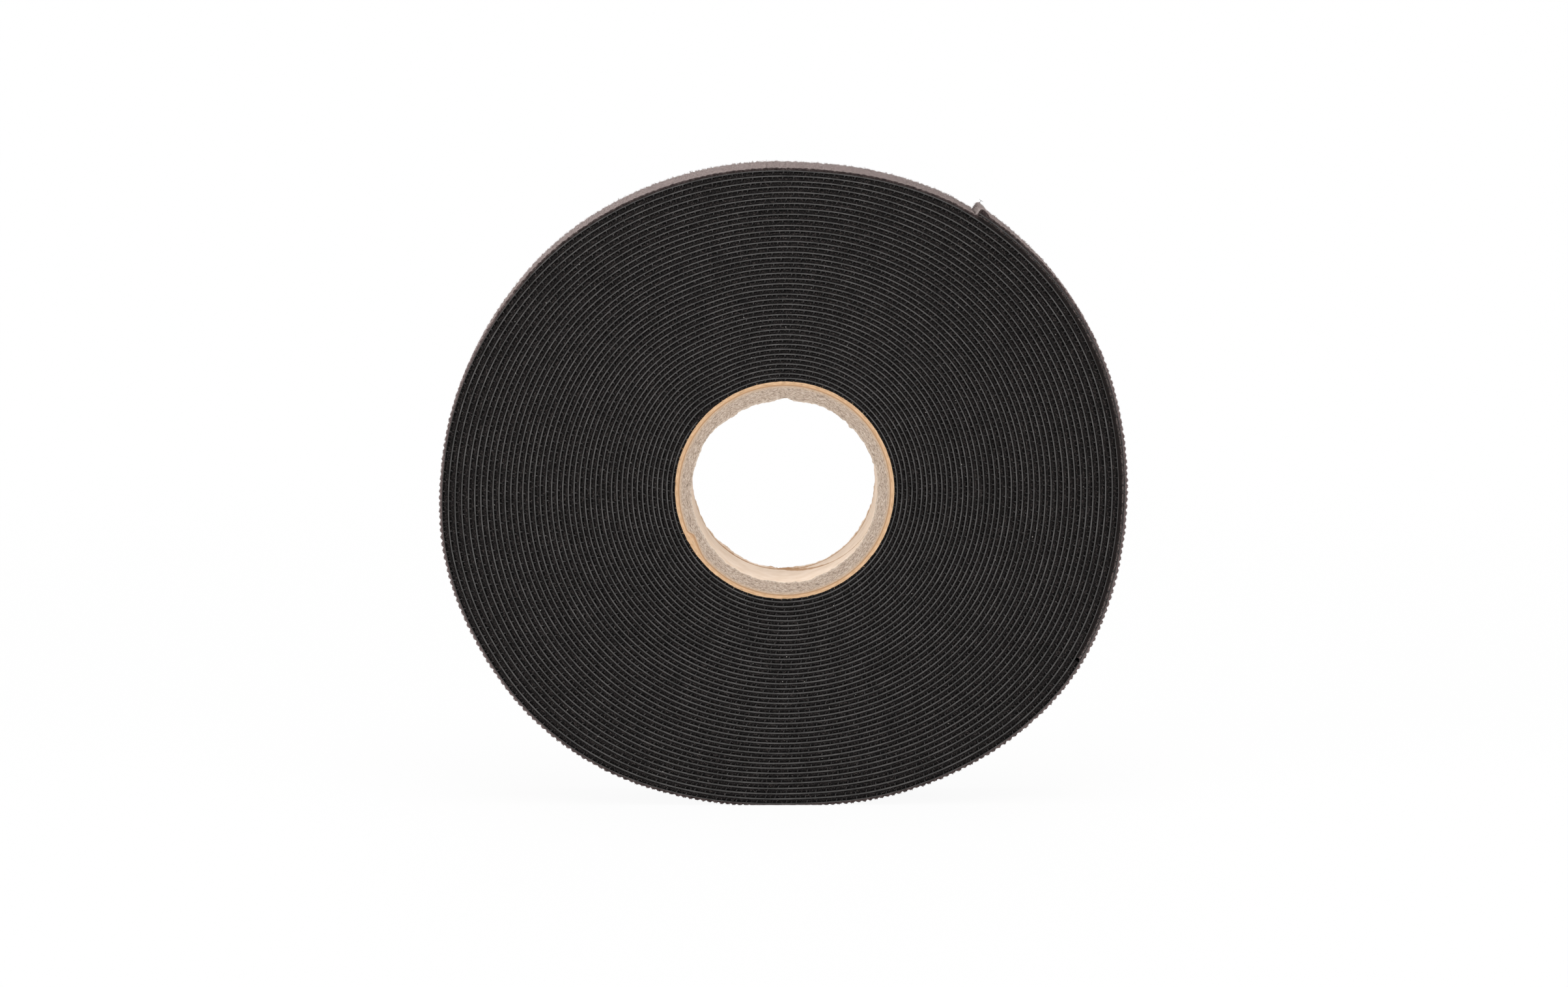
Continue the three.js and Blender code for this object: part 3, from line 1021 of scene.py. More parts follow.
@dataclass
class HookRows:
    """Lengthwise rows of moulded hooks: each a stem that tapers and bends over into a head."""

    spiral: TapeSpiral
    pitch: float = 2.74
    height: float = 0.85
    root_half: float = 0.2
    stray: Pair = (0.05, 0.06)
    sway: float = 0.06
    down: tuple[float, ...] = (-0.03, 0.5, 0.93, 0.84)
    bend: tuple[float, ...] = (0.0, 0.04, 0.16, 0.44)
    tilt: tuple[float, ...] = (0.0, 0.15, 0.75, 1.9)
    wide: tuple[float, ...] = (1.0, 0.62, 0.55, 0.35)
    deep: tuple[float, ...] = (0.95, 0.8, 0.75, 0.5)

    def shell(self, start: float, end: float, y: Array, seed: int) -> Shell:
        """Hooks on the film's inner side, evenly pitched along the tape, every other row turned and shifted.

        Each is a tube through four sections: the stem leaves the film straight, then leans along the tape and
        bends over, and its half widths shrink from root to head.

        Args:
            start: Travelled angle where the rows start.
            end: Travelled angle where they end.
            y: Place of each row across the width.
            seed: Seeds how hooks vary.

        Returns:
            One shell of all hooks.
        """
        rng, spiral = np.random.default_rng(seed), self.spiral
        travel = spiral.spaced(start, end, self.pitch)
        even = np.arange(len(y)) % 2 == 0
        shift = np.where(even, 0.0, 0.5) * self.pitch / spiral.film_radius(travel).mean()
        at = (travel[None, :] + shift[:, None]).ravel()
        way = np.repeat(np.where(even, 1.0, -1.0), len(travel))
        across = np.repeat(y, len(travel)) + rng.normal(0.0, self.stray[0], len(at))
        at = at + rng.normal(0.0, self.stray[1], len(at)) / spiral.film_radius(at)
        film = spiral.film_face(at, -1.0)
        tall = np.minimum(self.height, film - spiral.under_radius(at) - 0.1) * rng.uniform(0.9, 1.05, len(at))
        lean = rng.normal(0.0, self.sway, len(at))
        down, tilt = np.array(self.down), np.array(self.tilt)
        wide, deep = (np.array(part) * self.root_half * math.sqrt(2.0) for part in (self.wide, self.deep))
        inward, onward = -spiral.out(at), spiral.onward(at)
        ahead = np.array(self.bend) * way[:, None] + lean[:, None] * down
        centre = (spiral.place(at, film, across)[:, None] + spread(inward, down * tall[:, None])
                  + spread(onward, ahead))
        side = (onward[:, None] * (np.cos(tilt) * wide)[:, None]
                - inward[:, None] * (np.sin(tilt) * wide)[:, None] * way[:, None, None])
        return Shell.tubes(centre, side, np.broadcast_to(ASIDE * deep[:, None], centre.shape), 3)


@dataclass
class WoundTape:
    """The tape on the roll: the film, the pile pressed between its turns, and the edge rows of hooks."""

    spiral: TapeSpiral
    end: float
    film_steps: int = 240
    pile_step: float = 1.2
    pile_set_back: tuple[float, ...] = (0.3, 0.5, 0.8)
    pile_ripple: float = 0.25
    ripple_mm: float = 1.3
    pile_lap: float = 0.03
    hook_set_back: tuple[float, ...] = (0.3, 0.8)
    hook_split: float = 0.68
    fuzz_count: int = 5600
    fuzz_set_back: float = 0.75
    fuzz_length: Pair = (0.35, 0.9)
    fuzz_reach: Pair = (0.3, 0.8)
    fuzz_half: Pair = (0.03, 0.05)

    def pile(self) -> Shell:
        """The pressed pile: it fills from film to film, set back from both edges by a rippling depth."""
        spiral = self.spiral
        travel = spiral.spaced(0.001, self.end, self.pile_step)
        high = spiral.film_face(travel, -1.0) + self.pile_lap
        low = np.where(travel < TURN, spiral.core_radius + 0.02, spiral.under_radius(travel) - self.pile_lap)
        arc = travel * high
        radius = low[:, None] + (high - low)[:, None] * np.array([0.0, 0.5, 1.0])
        sections = []
        for side in Face:
            seed = 40 + int(side.value)
            ripple = np.stack([lattice_noise(arc / self.ripple_mm + 9.0 * j, travel / TURN * 3.0 + j, seed)
                               for j in range(3)], 1)
            y = side.value * (spiral.width / 2.0 - np.array(self.pile_set_back) - self.pile_ripple * ripple)
            sections.append(spiral.place(travel[:, None], radius, y)[:, ::-int(side.value)])
        return Shell.swept(np.concatenate(sections, 1), 48)

    def fuzz(self, side: Face, seed: int) -> Shell:
        """Loose filaments of the slit pile: tubes that leave the pile's edge face and curl over in its plane.

        Args:
            side: The face of the roll.
            seed: Seeds their places and curls.

        Returns:
            One shell of all filaments, with "rise", the share of their length.
        """
        rng = np.random.default_rng(seed)
        count, spiral = self.fuzz_count, self.spiral
        at = self.end * np.sqrt(rng.uniform(0.001, 1.0, count))
        low, high = spiral.under_radius(at), spiral.film_face(at, -1.0)
        foot = low + (high - low) * rng.uniform(0.05, 0.7, count)
        length, heading = rng.uniform(*self.fuzz_length, count), rng.uniform(0.0, TURN, count)
        flat = (spiral.onward(at) * np.cos(heading)[:, None]
                + spiral.out(at) * (0.6 * np.sin(heading))[:, None])
        s = np.linspace(0.0, 1.0, 3)
        reach = np.sin(2.0 * s) * rng.uniform(*self.fuzz_reach, count)[:, None]
        y = side.value * (spiral.width / 2.0 - self.fuzz_set_back + reach)
        centre = spiral.place(at[:, None], foot[:, None], y) + spread(flat, s * s * length[:, None])
        half = rng.uniform(*self.fuzz_half, count)[:, None] * np.array([1.0, 1.0, 0.7])
        return Shell.tubes(centre, spread(np.cross(flat, ASIDE), half), spread(ASIDE, half), 3, rise=s)

    def build(self) -> list[Piece]:
        """Makes the film, the pile, and at each edge two halves of the hook rows and the loose filaments."""
        travel = np.linspace(0.0, self.end, int(self.end / TURN * self.film_steps))
        ribbon = self.spiral.ribbon(travel)
        film = ribbon.piece("tape_film", MouldedFilm(), "tape_laminate", "roll", crease=40.0)
        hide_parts("tape_winding")
        pieces = [film, self.pile().piece("tape_pile", MatedPile(), "tape_laminate", "roll")]
        yarn = LoopYarn(name="black_nylon_pile_filament", root=0x1A1716, middle=0x38322F, tip=0x5E5653)
        middle = self.hook_split * self.end
        for side in Face:
            face, sign = side.name.lower(), int(side.value)
            y = side.value * (self.spiral.width / 2.0 - np.array(self.hook_set_back))
            for part, (start, end) in enumerate(((0.01, middle), (middle, self.end)), 1):
                hooks = HookRows(self.spiral).shell(start, end, y, 300 + 10 * part + sign)
                pieces.append(hooks.piece(f"tape_hooks_{face}_{part}", MouldedHooks(), "hook_strip", "roll"))
            fuzz = self.fuzz(side, 400 + sign)
            pieces.append(fuzz.piece(f"tape_pile_fuzz_{face}", yarn, "loop_strip", "roll"))
        return pieces


@dataclass
class LoopNap:
    """The brushed loops on the film's outer side: a clumpy bed, and loose loops that stand out of it.

    The tape above presses the bed between two travelled angles. A cap is a lump over the film's cut end.
    """

    spiral: TapeSpiral
    pressed: Pair = UNPRESSED
    cap: float = 0.0
    cap_end: float = 1.0e3
    cap_reach: float = 0.5
    cap_drop: float = 1.0
    cap_rise: Pair = (2.6, 1.6)
    free_height: float = 0.5
    pressed_height: float = 0.62
    worn_height: float = 0.12
    worn_over: Pair = (0.35, 0.4)
    # Painted shade on the roll's underside: where it starts, its run, and the share of brightness it takes
    painted_shade_under: Pair = (0.6, 0.4)
    painted_shade_share: float = 0.5
    press_ease: float = math.radians(1.5)
    tuft: float = 0.2
    worn_tuft: float = 0.42
    tuft_mm: float = 1.74
    clump: float = 0.07
    clump_mm: float = 1.1
    step_mm: float = 0.3
    across: int = 40
    margin: float = 0.05
    edge_bulge: float = 0.12
    pressed_inset: float = 0.45
    rest_gap: float = 0.02
    edged_share: float = 0.22
    root_depth: float = 0.12
    loop_span: Pair = (0.2, 0.6)
    loop_half: Pair = (0.035, 0.06)
    loop_lean: Pair = (0.3, 0.25)

    def past(self, travel: Array) -> Array:
        """Millimetres past the cut end of the film."""
        return (travel - self.cap_end) * RIM_RADIUS

    def worn_and_sheen(self, travel: Array) -> Array:
        """Share by which the nap is thinned by rubbing, and by which its slit edges are paler as a painted
        sheen fringe: 0 on the top of the roll, 1 at its sides and underneath.
        """
        start, run = self.worn_over
        return 1.0 - smoothstep((np.sin(self.spiral.inner_end + travel) - start) / run)

    def brightness(self, travel: Array) -> Array:
        """Share of the nap's brightness that is left: 1, and half on the roll's underside, as painted shade.
        """
        start, run = self.painted_shade_under
        return 1.0 - self.painted_shade_share * smoothstep((-np.sin(self.spiral.inner_end + travel) - start) / run)

    def rows(self, travel: Array, y: Array) -> Array:
        """Count of the rows of tufts along the tape, which bow a little across it."""
        arc = travel * RIM_RADIUS
        return arc / self.tuft_mm + 0.35 * lattice_noise(arc / 11.0, y / 9.0, 24)

    def edge(self, y: Array) -> Array:
        """Share by which a place belongs to the slit edges: 0 inside, eased to 1 over the last millimetre."""
        return smoothstep(np.abs(y) - self.spiral.width / 2.0 + 1.3)

    def freedom(self, travel: Array) -> Array:
        """Share by which the nap stands free: 0 between the pressed angles, eased to 1 past them."""
        start, end = self.pressed
        ease = self.press_ease
        return 1.0 - smoothstep((travel - start) / ease + 1.0) * smoothstep((end - travel) / ease + 0.4)

    def height(self, travel: Array, y: Array) -> Array:
        """Height of the bed over the film: rows of tufts, |sin| across the tape, and clumps of two sizes.
        Under the tail it is pressed flat, and its slit edges fill the gap. At a cut end it swells to a lump.

        Args:
            travel: Travelled angles.
            y: Places across the width.

        Returns:
            Heights in millimetres.
        """
        arc, worn_and_sheen, free = travel * RIM_RADIUS, self.worn_and_sheen(travel), self.freedom(travel)
        tufts = np.abs(np.sin(math.pi * self.rows(travel, y))) ** 0.65
        stand = (self.free_height + (self.worn_height - self.free_height) * worn_and_sheen
                 + (self.tuft + (self.worn_tuft - self.tuft) * worn_and_sheen) * tufts)
        fine = 0.45 * self.clump_mm
        clumps = (lattice_noise(arc / self.clump_mm, y / self.clump_mm, 21)
                  + 0.6 * lattice_noise(arc / fine, y / fine, 22))
        film = self.spiral.film_radius
        gap = film(travel + TURN) - film(travel) - self.spiral.film - 0.1
        flat = self.pressed_height + (gap - self.pressed_height) * self.edge(y)
        past = self.past(travel)
        fall = 1.0 - 0.6 * np.clip(past / self.cap_reach, 0.0, 1.0) ** 2
        before, run = self.cap_rise
        lump = self.cap * smoothstep((past + before) / run) * fall
        return flat + (stand - flat) * free + lump + self.clump * clumps * (0.5 + 0.5 * free)

    def bed(self, start: float, end: float) -> Shell:
        """The bed: the profile runs across its top at the tufts' height and back along the film. Its "rise"
        holds painted light and shade: 1 on the free top, less at the slit edges and on the side walls as
        painted shade, least at the slit edges under the tail as painted shade between tail and roll, over 1
        at the slit edges on the roll's sides as a pale painted sheen fringe, and halved on the underside as
        painted shade."""
        travel = np.linspace(start, end, max(8, int((end - start) * RIM_RADIUS / self.step_mm)))
        if self.cap > 0.0:
            over = np.array([0.04, 0.2, 0.6, 0.84, 1.0]) * self.cap_reach
            travel = np.concatenate([travel, self.cap_end + over / RIM_RADIUS])
        reach = self.spiral.width / 2.0 - self.margin
        y = np.linspace(-reach, reach, self.across)
        film = self.spiral.film_face(travel, 1.0)
        column, free, worn_and_sheen = travel[:, None], self.freedom(travel)[:, None], self.worn_and_sheen(travel)[:, None]
        top = film[:, None] + self.height(column, y[None, :])
        bulge = self.edge_bulge * lattice_noise(travel * RIM_RADIUS / 0.8, 0.0, 23)
        bulge = bulge - self.pressed_inset * (1.0 - free[:, 0])
        run = np.broadcast_to(y, top.shape).copy()
        run[:, 0] -= 0.02 + bulge
        run[:, -1] += 0.02 + bulge
        back = (reach + 0.12 * worn_and_sheen) * np.linspace(1.0, -1.0, 4)
        drop = 0.02 + 0.14 * worn_and_sheen + self.cap_drop * smoothstep(self.past(column) / 0.1)
        upper = self.spiral.place(column, top, run)
        lower = self.spiral.place(column, film[:, None] - drop, back)
        shell = Shell.swept(np.concatenate([upper, lower], 1), 8).kept_above(self.rest_gap)
        # Painted light and shade: darker slit edges on top and under the tail, darker side walls, a pale
        # painted sheen fringe on the roll's sides, and painted shade underneath.
        rim = smoothstep((np.abs(y) - reach + 0.7) / 0.7)
        lit = free * (1.0 + (worn_and_sheen - 0.25) * rim) + (1.0 - free) * (0.75 - 0.7 * self.edge(y))
        foot = np.maximum(free * (0.2 + 1.1 * worn_and_sheen), self.past(column) > 0.0)
        rise = np.concatenate([lit, np.broadcast_to(foot, back.shape)], 1) * self.brightness(column)
        shell.values["rise"] = np.concatenate([rise.ravel(), [0.0, float(self.cap > 0.0)]])
        return shell

    def loops(self, start: float, end: float, density: float, tall: float, seed: int) -> Shell:
        """Loose loops: a three-sided tube over five points of a leaning arch, height x (1 - (2s - 1)^2).

        Args:
            start: Travelled angle where they start.
            end: Travelled angle where they end.
            density: Loops a square millimetre.
            tall: Mean height over the bed.
            seed: Seeds their places and leans.

        Returns:
            One shell of all loops, with "rise", the share of its height at each point, lowered by painted
            shade.
        """
        rng, spiral = np.random.default_rng(seed), self.spiral
        count = int((end - start) * RIM_RADIUS * spiral.width * density)
        at = rng.uniform(start, end, count)
        reach = spiral.width / 2.0
        y = rng.uniform(-reach, reach, count)
        edged = rng.random(count) < self.edged_share
        y = np.where(edged, np.sign(y) * (reach - np.abs(rng.normal(0.0, 0.35, count))), y)
        worn_and_sheen, row = self.worn_and_sheen(at), self.rows(at, y)
        at = at + (0.5 - row + np.floor(row)) * 0.5 * worn_and_sheen * self.tuft_mm / RIM_RADIUS
        foot = spiral.film_face(at, 1.0) + self.height(at, y) - self.root_depth
        heading, span = rng.uniform(0.0, TURN, count), rng.uniform(*self.loop_span, count)
        lift = tall * rng.gamma(7.0, 1.0 / 7.0, count) * (1.0 - 0.45 * worn_and_sheen)
        lean_on, lean_side = (rng.normal(0.0, lean, count) * lift for lean in self.loop_lean)
        lean_side = lean_side + np.where(edged, np.sign(y) * 0.35 * lift, 0.0)
        s = np.linspace(0.0, 1.0, 5)
        arch = 1.0 - (2.0 * s - 1.0) ** 2
        out, onward = spiral.out(at), spiral.onward(at)
        cos, sin = np.cos(heading)[:, None], np.sin(heading)[:, None]
        flat, cross = onward * cos + ASIDE * sin, onward * -sin + ASIDE * cos
        centre = (spiral.place(at, foot, y)[:, None] + spread(flat, (s - 0.5) * span[:, None])
                  + spread(out, arch * (lift + self.root_depth)[:, None])
                  + spread(onward, arch * lean_on[:, None]) + spread(ASIDE, arch * lean_side[:, None]))
        thick = rng.uniform(*self.loop_half, count)[:, None] * np.array([0.8, 1.0, 1.1, 1.0, 0.8])
        normal = out[:, None] * 0.8 - flat[:, None] * (2.0 * s - 1.0)[:, None] * 0.6
        # Painted shade: at the slit edges under the tail, and on the roll's underside.
        lit = (1.0 - 0.9 * self.edge(y) * (1.0 - self.freedom(at))) * self.brightness(at)
        rise = arch * lit[:, None]
        shell = Shell.tubes(centre, spread(cross, thick), normal * thick[:, :, None], 3, rise=rise)
        return shell.kept_above(self.rest_gap)


@dataclass
class OuterNap:
    """The nap on the roll's outermost turn, lying free all round and pressed where the tail covers it."""

    spiral: TapeSpiral
    start: float
    tail_end: float
    end: float
    lengths: int = 4
    density: float = 1.55
    tall: float = 0.21
    covered_density: float = 0.8
    covered_tall: float = 0.1

    def build(self) -> list[Piece]:
        """Makes the bed, four lengths of loose loops, and the short loops under the tail."""
        nap = LoopNap(self.spiral, (self.start - 1.0, self.tail_end))
        cuts = np.linspace(self.tail_end, self.end, self.lengths + 1)
        shells = {"outer_nap_bed": nap.bed(self.start, self.end)}
        for part, (low, high) in enumerate(zip(cuts[:-1], cuts[1:]), 1):
            shells[f"outer_nap_loops_{part}"] = nap.loops(low, high, self.density, self.tall, 500 + part)
        shells["covered_nap_loops"] = nap.loops(self.start, self.tail_end, self.covered_density,
                                                self.covered_tall, 510)
        return [shell.piece(name, BrushedNap() if name.endswith("bed") else LoopYarn(), "loop_strip", "roll")
                for name, shell in shells.items()]


@dataclass
class FreeTail:
    """The tape's free outer end: short lengths, one for each hinge, and a frayed cut end."""

    spiral: TapeSpiral
    turn: int = 41
    segments: int = 8
    segment_arc: float = math.radians(10.0)
    bend_reach: float = 21.7
    root_reach: Pair = (7.95, 15.25)
    hook_rows: int = 36
    hook_margin: float = 0.25
    film_steps: int = 24
    density: float = 1.55
    tall: float = 0.21
    cap: float = 0.62
    fray_count: int = 700
    fray_length: Pair = (0.25, 0.6)
    fray_curl: float = 0.3
    fray_half: Pair = (0.03, 0.05)
    torn_hook_size: float = 1.1
    torn_hook_place: Point = (-0.2, 1.25, 11.5)

    @property
    def end(self) -> float:
        """Travelled angle of the cut end."""
        return self.spiral.travel_at(self.turn, self.spiral.tail_end)

    @property
    def root(self) -> float:
        """Travelled angle of the first hinge."""
        return self.end - self.segments * self.segment_arc

    @property
    def start(self) -> float:
        """Travelled angle where the first length starts, half a segment before its hinge."""
        return self.root - self.segment_arc / 2.0

    def length(self, name: str, part: int, body: str | None) -> list[Piece]:
        """A length of film with its field of hooks, and of nap with its loops; the last one is capped.

        Args:
            name: How its pieces' names start.
            part: Its number along the tail.
            body: The body that it rides on, or None if it rides on none.

        Returns:
            The film, the hooks, the nap and the loops.
        """
        low = self.start + (part - 1) * self.segment_arc
        high = min(low + self.segment_arc, self.end)
        reach = self.spiral.width / 2.0 - self.hook_margin
        film = self.spiral.ribbon(np.linspace(low, high, self.film_steps))
        hooks = HookRows(self.spiral).shell(low, high, np.linspace(-reach, reach, self.hook_rows), 700 + part)
        nap = LoopNap(self.spiral)
        if high >= self.end:
            nap = self.capped_nap()
        loops = nap.loops(low, high, self.density, self.tall, 800 + part)
        return [film.piece(f"{name}_film", MouldedFilm(), "hook_strip", body, crease=40.0),
                hooks.piece(f"{name}_hooks", MouldedHooks(), "hook_strip", body),
                nap.bed(low, high).piece(f"{name}_nap", BrushedNap(), "loop_strip", body),
                loops.piece(f"{name}_loops", LoopYarn(), "loop_strip", body)]

    def capped_nap(self) -> LoopNap:
        """The nap at the cut end, with its lump."""
        return LoopNap(self.spiral, cap=self.cap, cap_end=self.end)

    def bend(self, piece: Piece, hinge: int) -> None:
        """Bakes a piece's world transform into its mesh; the way along the tape at its hinge is worked out
        but not used.

        Args:
            piece: The piece.
            hinge: The hinge's number along the tail.
        """
        way = Vector(self.spiral.onward(np.array(self.root + (hinge - 1) * self.segment_arc))) * MM
        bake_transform(piece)

    def frayed(self) -> Shell:
        """Loose filaments on the cut end: tubes that leave the lump's end face and top and curl outwards."""
        rng, spiral = np.random.default_rng(900), self.spiral
        count, reach = self.fray_count, spiral.width / 2.0
        y = rng.uniform(-reach, reach, count)
        y = np.where(np.arange(count) % 4 == 0, -reach + np.abs(rng.normal(0.0, 0.5, count)), y)
        past = np.where(np.arange(count) % 2 == 0, 0.4, rng.uniform(-1.8, 0.45, count))
        on_end = past > 0.3
        at = self.end + past / RIM_RADIUS
        film = spiral.film_face(at, 1.0)
        top = film + self.capped_nap().height(at, y) - 0.08
        foot = np.where(on_end, film - 0.8 + (top - film + 0.8) * rng.uniform(0.0, 1.0, count), top)
        long = rng.uniform(*self.fray_length, count)
        rise = np.where(on_end, rng.uniform(-0.1, 0.5, count), rng.uniform(0.6, 1.0, count))
        curl = rng.normal(0.0, self.fray_curl, count)
        s = np.linspace(0.0, 1.0, 5)
        out = spiral.out(at)
        centre = (spiral.place(at, foot, y)[:, None]
                  + spread(spiral.onward(at), np.sin(1.5 * s) * (long * (1.0 - rise))[:, None])
                  + spread(out, s * (long * rise)[:, None])
                  + spread(ASIDE, np.sin(3.0 * s) * (0.5 * curl)[:, None]))
        thick = rng.uniform(*self.fray_half, count)[:, None] * np.array([1.2, 1.0, 0.9, 0.8, 0.6])
        return Shell.tubes(centre, spread(ASIDE, thick), spread(out, thick), 3, rise=0.45 + 0.55 * s)

    def torn_hook(self) -> Shell:
        """A hook torn off and caught in the lump: a straight stem and a bar across its head."""
        past, rise, y = self.torn_hook_place
        at = np.array(self.end + past / RIM_RADIUS)
        stem, bar = self.spiral.out(at), self.spiral.onward(at)
        foot = self.spiral.place(at, self.spiral.film_radius(at) + rise, np.array(y))
        s, size = np.linspace(0.0, 1.0, 5)[:, None], self.torn_hook_size
        head = foot + (size - 0.12 * np.sin(math.pi * s)) * stem + (s - 0.5) * size * bar
        centre = np.stack([foot + size * s * stem, head])
        half = np.array([0.06, 0.055, 0.05, 0.055, 0.06])[:, None]
        return Shell.tubes(centre, np.stack([bar * half, stem * half]), np.stack([ASIDE * half] * 2), 6)

    def build(self) -> list[Piece]:
        """Makes eight lengths, one for each hinge, then the short stiff length with the frayed end."""
        pieces = []
        for hinge in range(1, self.segments + 1):
            made = self.length(f"tail_{hinge}", hinge, None)
            for piece in made:
                self.bend(piece, hinge)
            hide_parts(f"tail_hook_strip_{hinge}")
            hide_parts(f"tail_loop_strip_{hinge}")
            pieces += made
        last = f"tail_{self.segments}"
        pieces += self.length("tail_end", self.segments + 1, last)
        yarn = LoopYarn(name="black_nylon_filament_frayed", middle=0xB0A6A2, tip=0xDAD2CE)
        torn = MouldedHooks(name="black_polyolefin_hook_torn", root=0x8E8D8E, head=0x757475)
        return pieces + [self.frayed().piece("tail_end_fray", yarn, "loop_strip", last),
                         self.torn_hook().piece("tail_end_torn_hook", torn, "hook_strip", last)]


@dataclass
class DustAndLint:
    """Specks of paper dust and short hairs that cling to both cut faces of the tape."""

    spiral: TapeSpiral
    specks: int = 105
    speck_length: Pair = (0.1, 0.26)
    speck_half: float = 0.11
    hairs: int = 34
    hair_length: Pair = (0.6, 1.8)
    hair_half: float = 0.02
    last_turn: float = 40.0

    def place(self, rng: np.random.Generator, count: int) -> Array:
        """Random places on the two faces, between the core and the outermost turn."""
        angle, share = rng.uniform(0.0, TURN, count), np.sqrt(rng.uniform(0.14, 0.92, count))
        radius = share * self.spiral.radius(angle, self.last_turn)
        side = np.where(np.arange(count) % 3 < 2, -1.0, 1.0)
        return np.stack([radius * np.cos(angle), side * (self.spiral.width / 2.0 + 0.02),
                         self.spiral.axis_height + radius * np.sin(angle)], 1)

    def strands(self, rng: np.random.Generator, count: int, long: Pair, thick: float) -> Shell:
        """Short curved tubes that lie on the faces: length x (s - 1/2) along a heading, bowed by a parabola.

        Args:
            rng: Draws their places and shapes.
            count: How many.
            long: Shortest and longest length.
            thick: Mean half width.

        Returns:
            One shell of all strands.
        """
        middle = self.place(rng, count)
        heading, length = rng.uniform(0.0, TURN, count), rng.uniform(*long, count)
        bend = rng.normal(0.0, 0.2, count) * length
        s = np.linspace(0.0, 1.0, 5)
        bow = around(heading)
        centre = (middle[:, None] + spread(away(heading), (s - 0.5) * length[:, None])
                  + spread(bow, (1.0 - (2.0 * s - 1.0) ** 2) * bend[:, None]))
        half = thick * rng.uniform(0.7, 1.3, count)[:, None] * np.array([0.6, 1.0, 1.0, 1.0, 0.6])
        return Shell.tubes(centre, spread(bow, half), spread(ASIDE, half), 4)

    def build(self) -> list[Piece]:
        """Makes the specks and the hairs."""
        rng = np.random.default_rng(61)
        specks = self.strands(rng, self.specks, self.speck_length, self.speck_half)
        hairs = self.strands(rng, self.hairs, self.hair_length, self.hair_half)
        lint = Dust(name="grey_lint", low=0x4A4644, high=0x8C8782)
        return [specks.piece("dust_specks", Dust(), "liner_paper", "roll"),
                hairs.piece("lint_hairs", lint, "liner_paper", "roll")]


# The studio


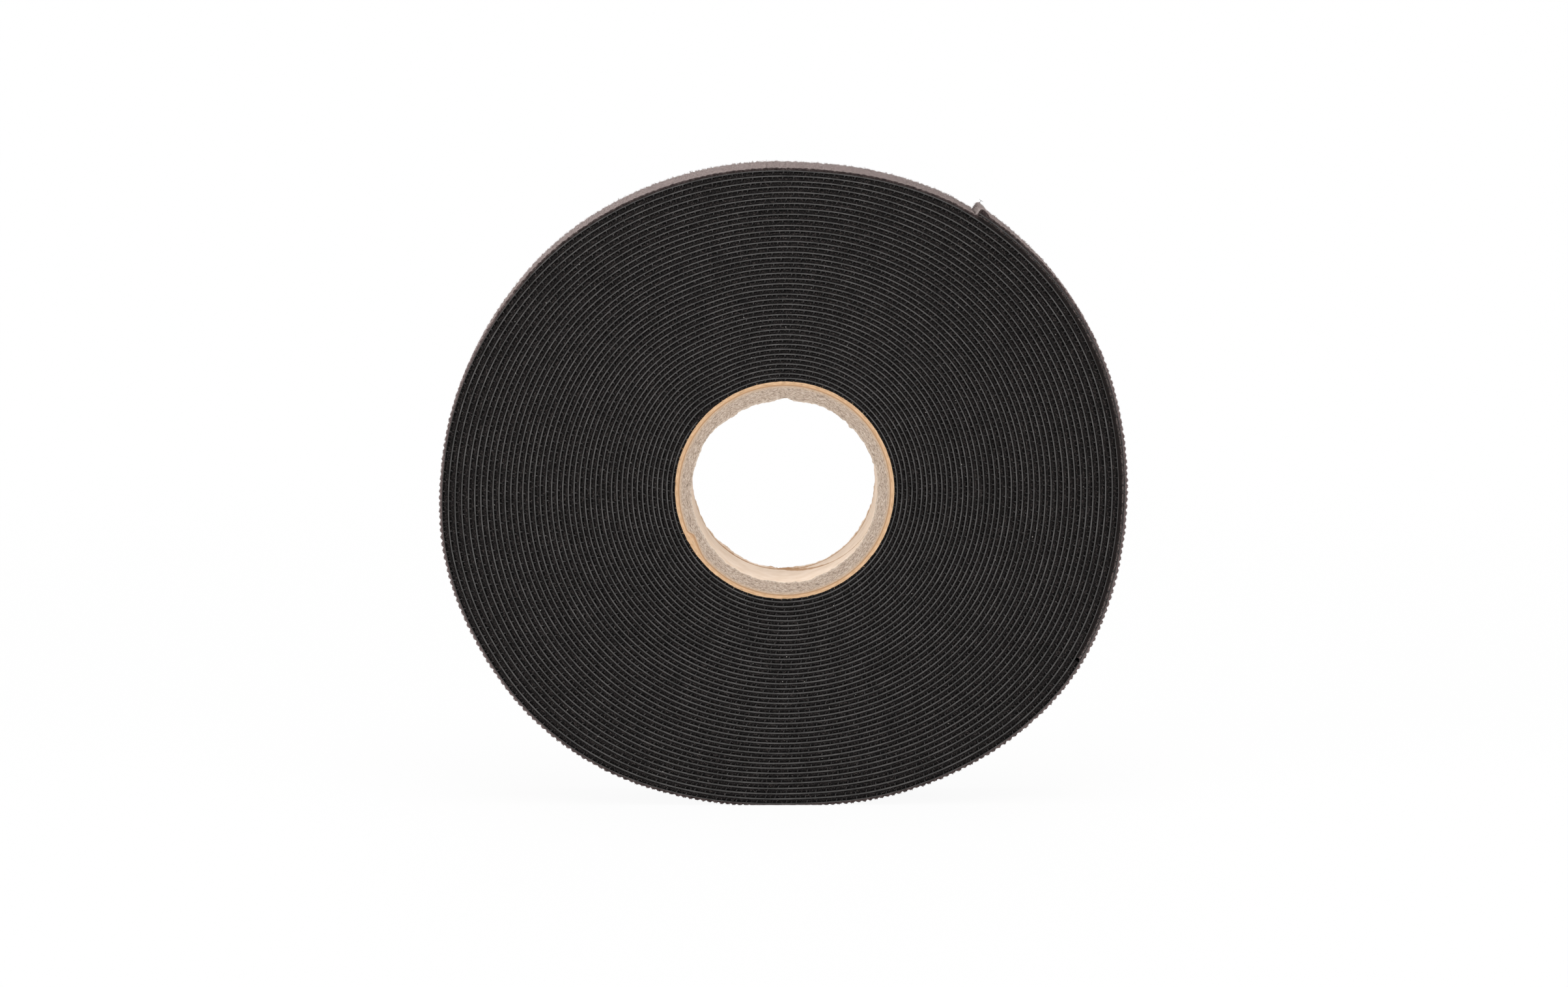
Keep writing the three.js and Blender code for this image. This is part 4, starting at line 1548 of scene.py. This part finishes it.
@dataclass
class Studio:
    """A white sweep of floor, soft lamps and the camera. Each lamp is a name, a place, a size and a power."""

    target: Point
    distance: float = 1364.0
    azimuth: float = math.radians(-0.56)
    elevation: float = math.radians(7.6)
    lens: float = 116.2
    image_width: float = 2408.0
    shift_px: Pair = (-1.0, -4.5)
    floor_half: float = 14.0
    floor_squares: int = 8
    own_glow: float = 0.94
    shadow_reach: Pair = (0.22, 0.8)
    surround: float = 0.3
    lamps: tuple[tuple[str, Point, float, float], ...] = (
        ("lamp_top", (0.1, -0.25, 1.3), 1.2, 12.0),
        ("lamp_front_left", (-1.35, -1.1, 0.5), 1.0, 12.0),
        ("lamp_front_right", (1.1, -1.3, 0.8), 1.0, 5.6),
        ("lamp_rear", (0.0, 1.6, 0.9), 1.2, 8.0))

    def floor(self) -> None:
        """A flat floor of squares; their number bears on how the renderer samples its glow."""
        side = np.linspace(-self.floor_half, self.floor_half, self.floor_squares + 1)
        x, y = np.meshgrid(side, side, indexing="ij")
        points = np.stack([x, y, np.zeros_like(x)], 2).reshape(-1, 3)
        i, j = grid_cells(self.floor_squares, self.floor_squares)
        near, far = i * len(side) + j, (i + 1) * len(side) + j
        mesh = bpy.data.meshes.new("floor")
        mesh.from_pydata(points.tolist(), [], np.stack([near, far, far + 1, near + 1], 1).tolist())
        mesh.materials.append(self.floor_material())
        floor = placed("floor", mesh)

    def floor_material(self) -> bpy.types.Material:
        """Matt white sweep: most of what the camera sees is even white, and the rest keeps the shadow."""
        material = bpy.data.materials.new("white_sweep_matt")
        material.use_nodes = True
        tree = material.node_tree
        paint = Paint(tree)
        shader = tree.nodes["Principled BSDF"]
        for key, value in (("Base Color", linear(0xF7F7F7)), ("Roughness", 1.0), ("Specular IOR Level", 0.0)):
            shader.inputs[key].default_value = value
        off = add_node(tree, "ShaderNodeVectorMath", {0: paint.place()}, operation="LENGTH").outputs["Value"]
        inputs = dict(enumerate((off, *self.shadow_reach, self.own_glow, 1.0)))
        even = add_node(tree, "ShaderNodeMapRange", inputs, interpolation_type="SMOOTHSTEP").outputs[0]
        share = paint.math("MULTIPLY", self.seen(paint), even)
        glow = add_node(tree, "ShaderNodeEmission", {"Color": WHITE, "Strength": 1.0}).outputs[0]
        mix = add_node(tree, "ShaderNodeMixShader", {0: share, 1: shader.outputs[0], 2: glow})
        tree.links.new(mix.outputs[0], tree.nodes["Material Output"].inputs["Surface"])
        return material

    def seen(self, paint: Paint) -> Socket:
        """1 for what the camera sees, straight or by reflection, and 0 for light that falls on things."""
        rays = add_node(paint.tree, "ShaderNodeLightPath").outputs
        straight = paint.math("MAXIMUM", rays["Is Camera Ray"], rays["Is Glossy Ray"])
        return paint.math("MAXIMUM", straight, rays["Is Transmission Ray"])

    def world(self) -> None:
        """An even soft surround, plain white to the camera."""
        world = bpy.data.worlds.new("studio")
        world.use_nodes = True
        tree = world.node_tree
        tree.nodes.clear()
        shades = []
        for strength in (self.surround, 1.0):
            inputs = {"Color": WHITE, "Strength": strength}
            shades.append(add_node(tree, "ShaderNodeBackground", inputs).outputs[0])
        mix = add_node(tree, "ShaderNodeMixShader", {0: self.seen(Paint(tree)), 1: shades[0], 2: shades[1]})
        add_node(tree, "ShaderNodeOutputWorld", {"Surface": mix.outputs[0]})
        bpy.context.scene.world = world

    def lamp(self, name: str, place: Point, size: float, power: float) -> None:
        """A square soft box that looks at the middle of the roll.

        Args:
            name: Its name.
            place: Its place, in metres.
            size: Its side, in metres.
            power: Its power, in watts.
        """
        light = bpy.data.lights.new(name, "AREA")
        light.size = size
        light.energy = power
        lamp = placed(name, light)
        lamp.location = place
        aim = Vector(self.target) * MM - Vector(place)
        lamp.rotation_euler = aim.to_track_quat("-Z", "Y").to_euler()

    def camera(self) -> None:
        """A long lens on the core's front end, a little above and to the left of the axis."""
        data = bpy.data.cameras.new("camera")
        data.lens = self.lens
        data.sensor_width = 36.0
        data.sensor_fit = "HORIZONTAL"
        data.shift_x, data.shift_y = (shift / self.image_width for shift in self.shift_px)
        data.clip_end = 100.0
        level, turned = math.cos(self.elevation), self.azimuth
        back = Vector((math.sin(turned) * level, -math.cos(turned) * level, math.sin(self.elevation)))
        camera = placed("camera", data)
        camera.location = (Vector(self.target) + back * self.distance) * MM
        camera.rotation_euler = (-back).to_track_quat("-Z", "Y").to_euler()
        bpy.context.scene.camera = camera

    def build(self) -> None:
        """Sets up the camera, the floor, the surround and the lamps."""
        bpy.context.scene.view_settings.view_transform = "Standard"
        self.camera()
        self.floor()
        self.world()
        for lamp in self.lamps:
            self.lamp(*lamp)


def main() -> None:
    """Builds the studio and the sub-assemblies in order, and reports each piece."""
    logging.basicConfig(level=logging.INFO, format="%(message)s")
    low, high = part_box("core_liner")
    axis_height = (low.z + high.z) / 2.0 / MM
    spiral = TapeSpiral(axis_height)
    tail = FreeTail(spiral)
    core = PaperCore(axis_height)
    Studio((0.0, low.y / MM, axis_height)).build()
    core.dress_bond()
    pieces = core.build()
    pieces += WoundTape(spiral, tail.start).build()
    pieces += OuterNap(spiral, tail.start - TURN, tail.end - TURN, tail.start).build()
    pieces += tail.build()
    pieces += DustAndLint(spiral).build()
    for piece in pieces:
        LOG.info("%s: %d faces", piece.name, len(piece.data.polygons))
    LOG.info("object: %d triangles", sum(len(p.data.loops) - 2 * len(p.data.polygons) for p in pieces))


if __name__ == "__main__":
    main()
    bpy.context.view_layer.update()
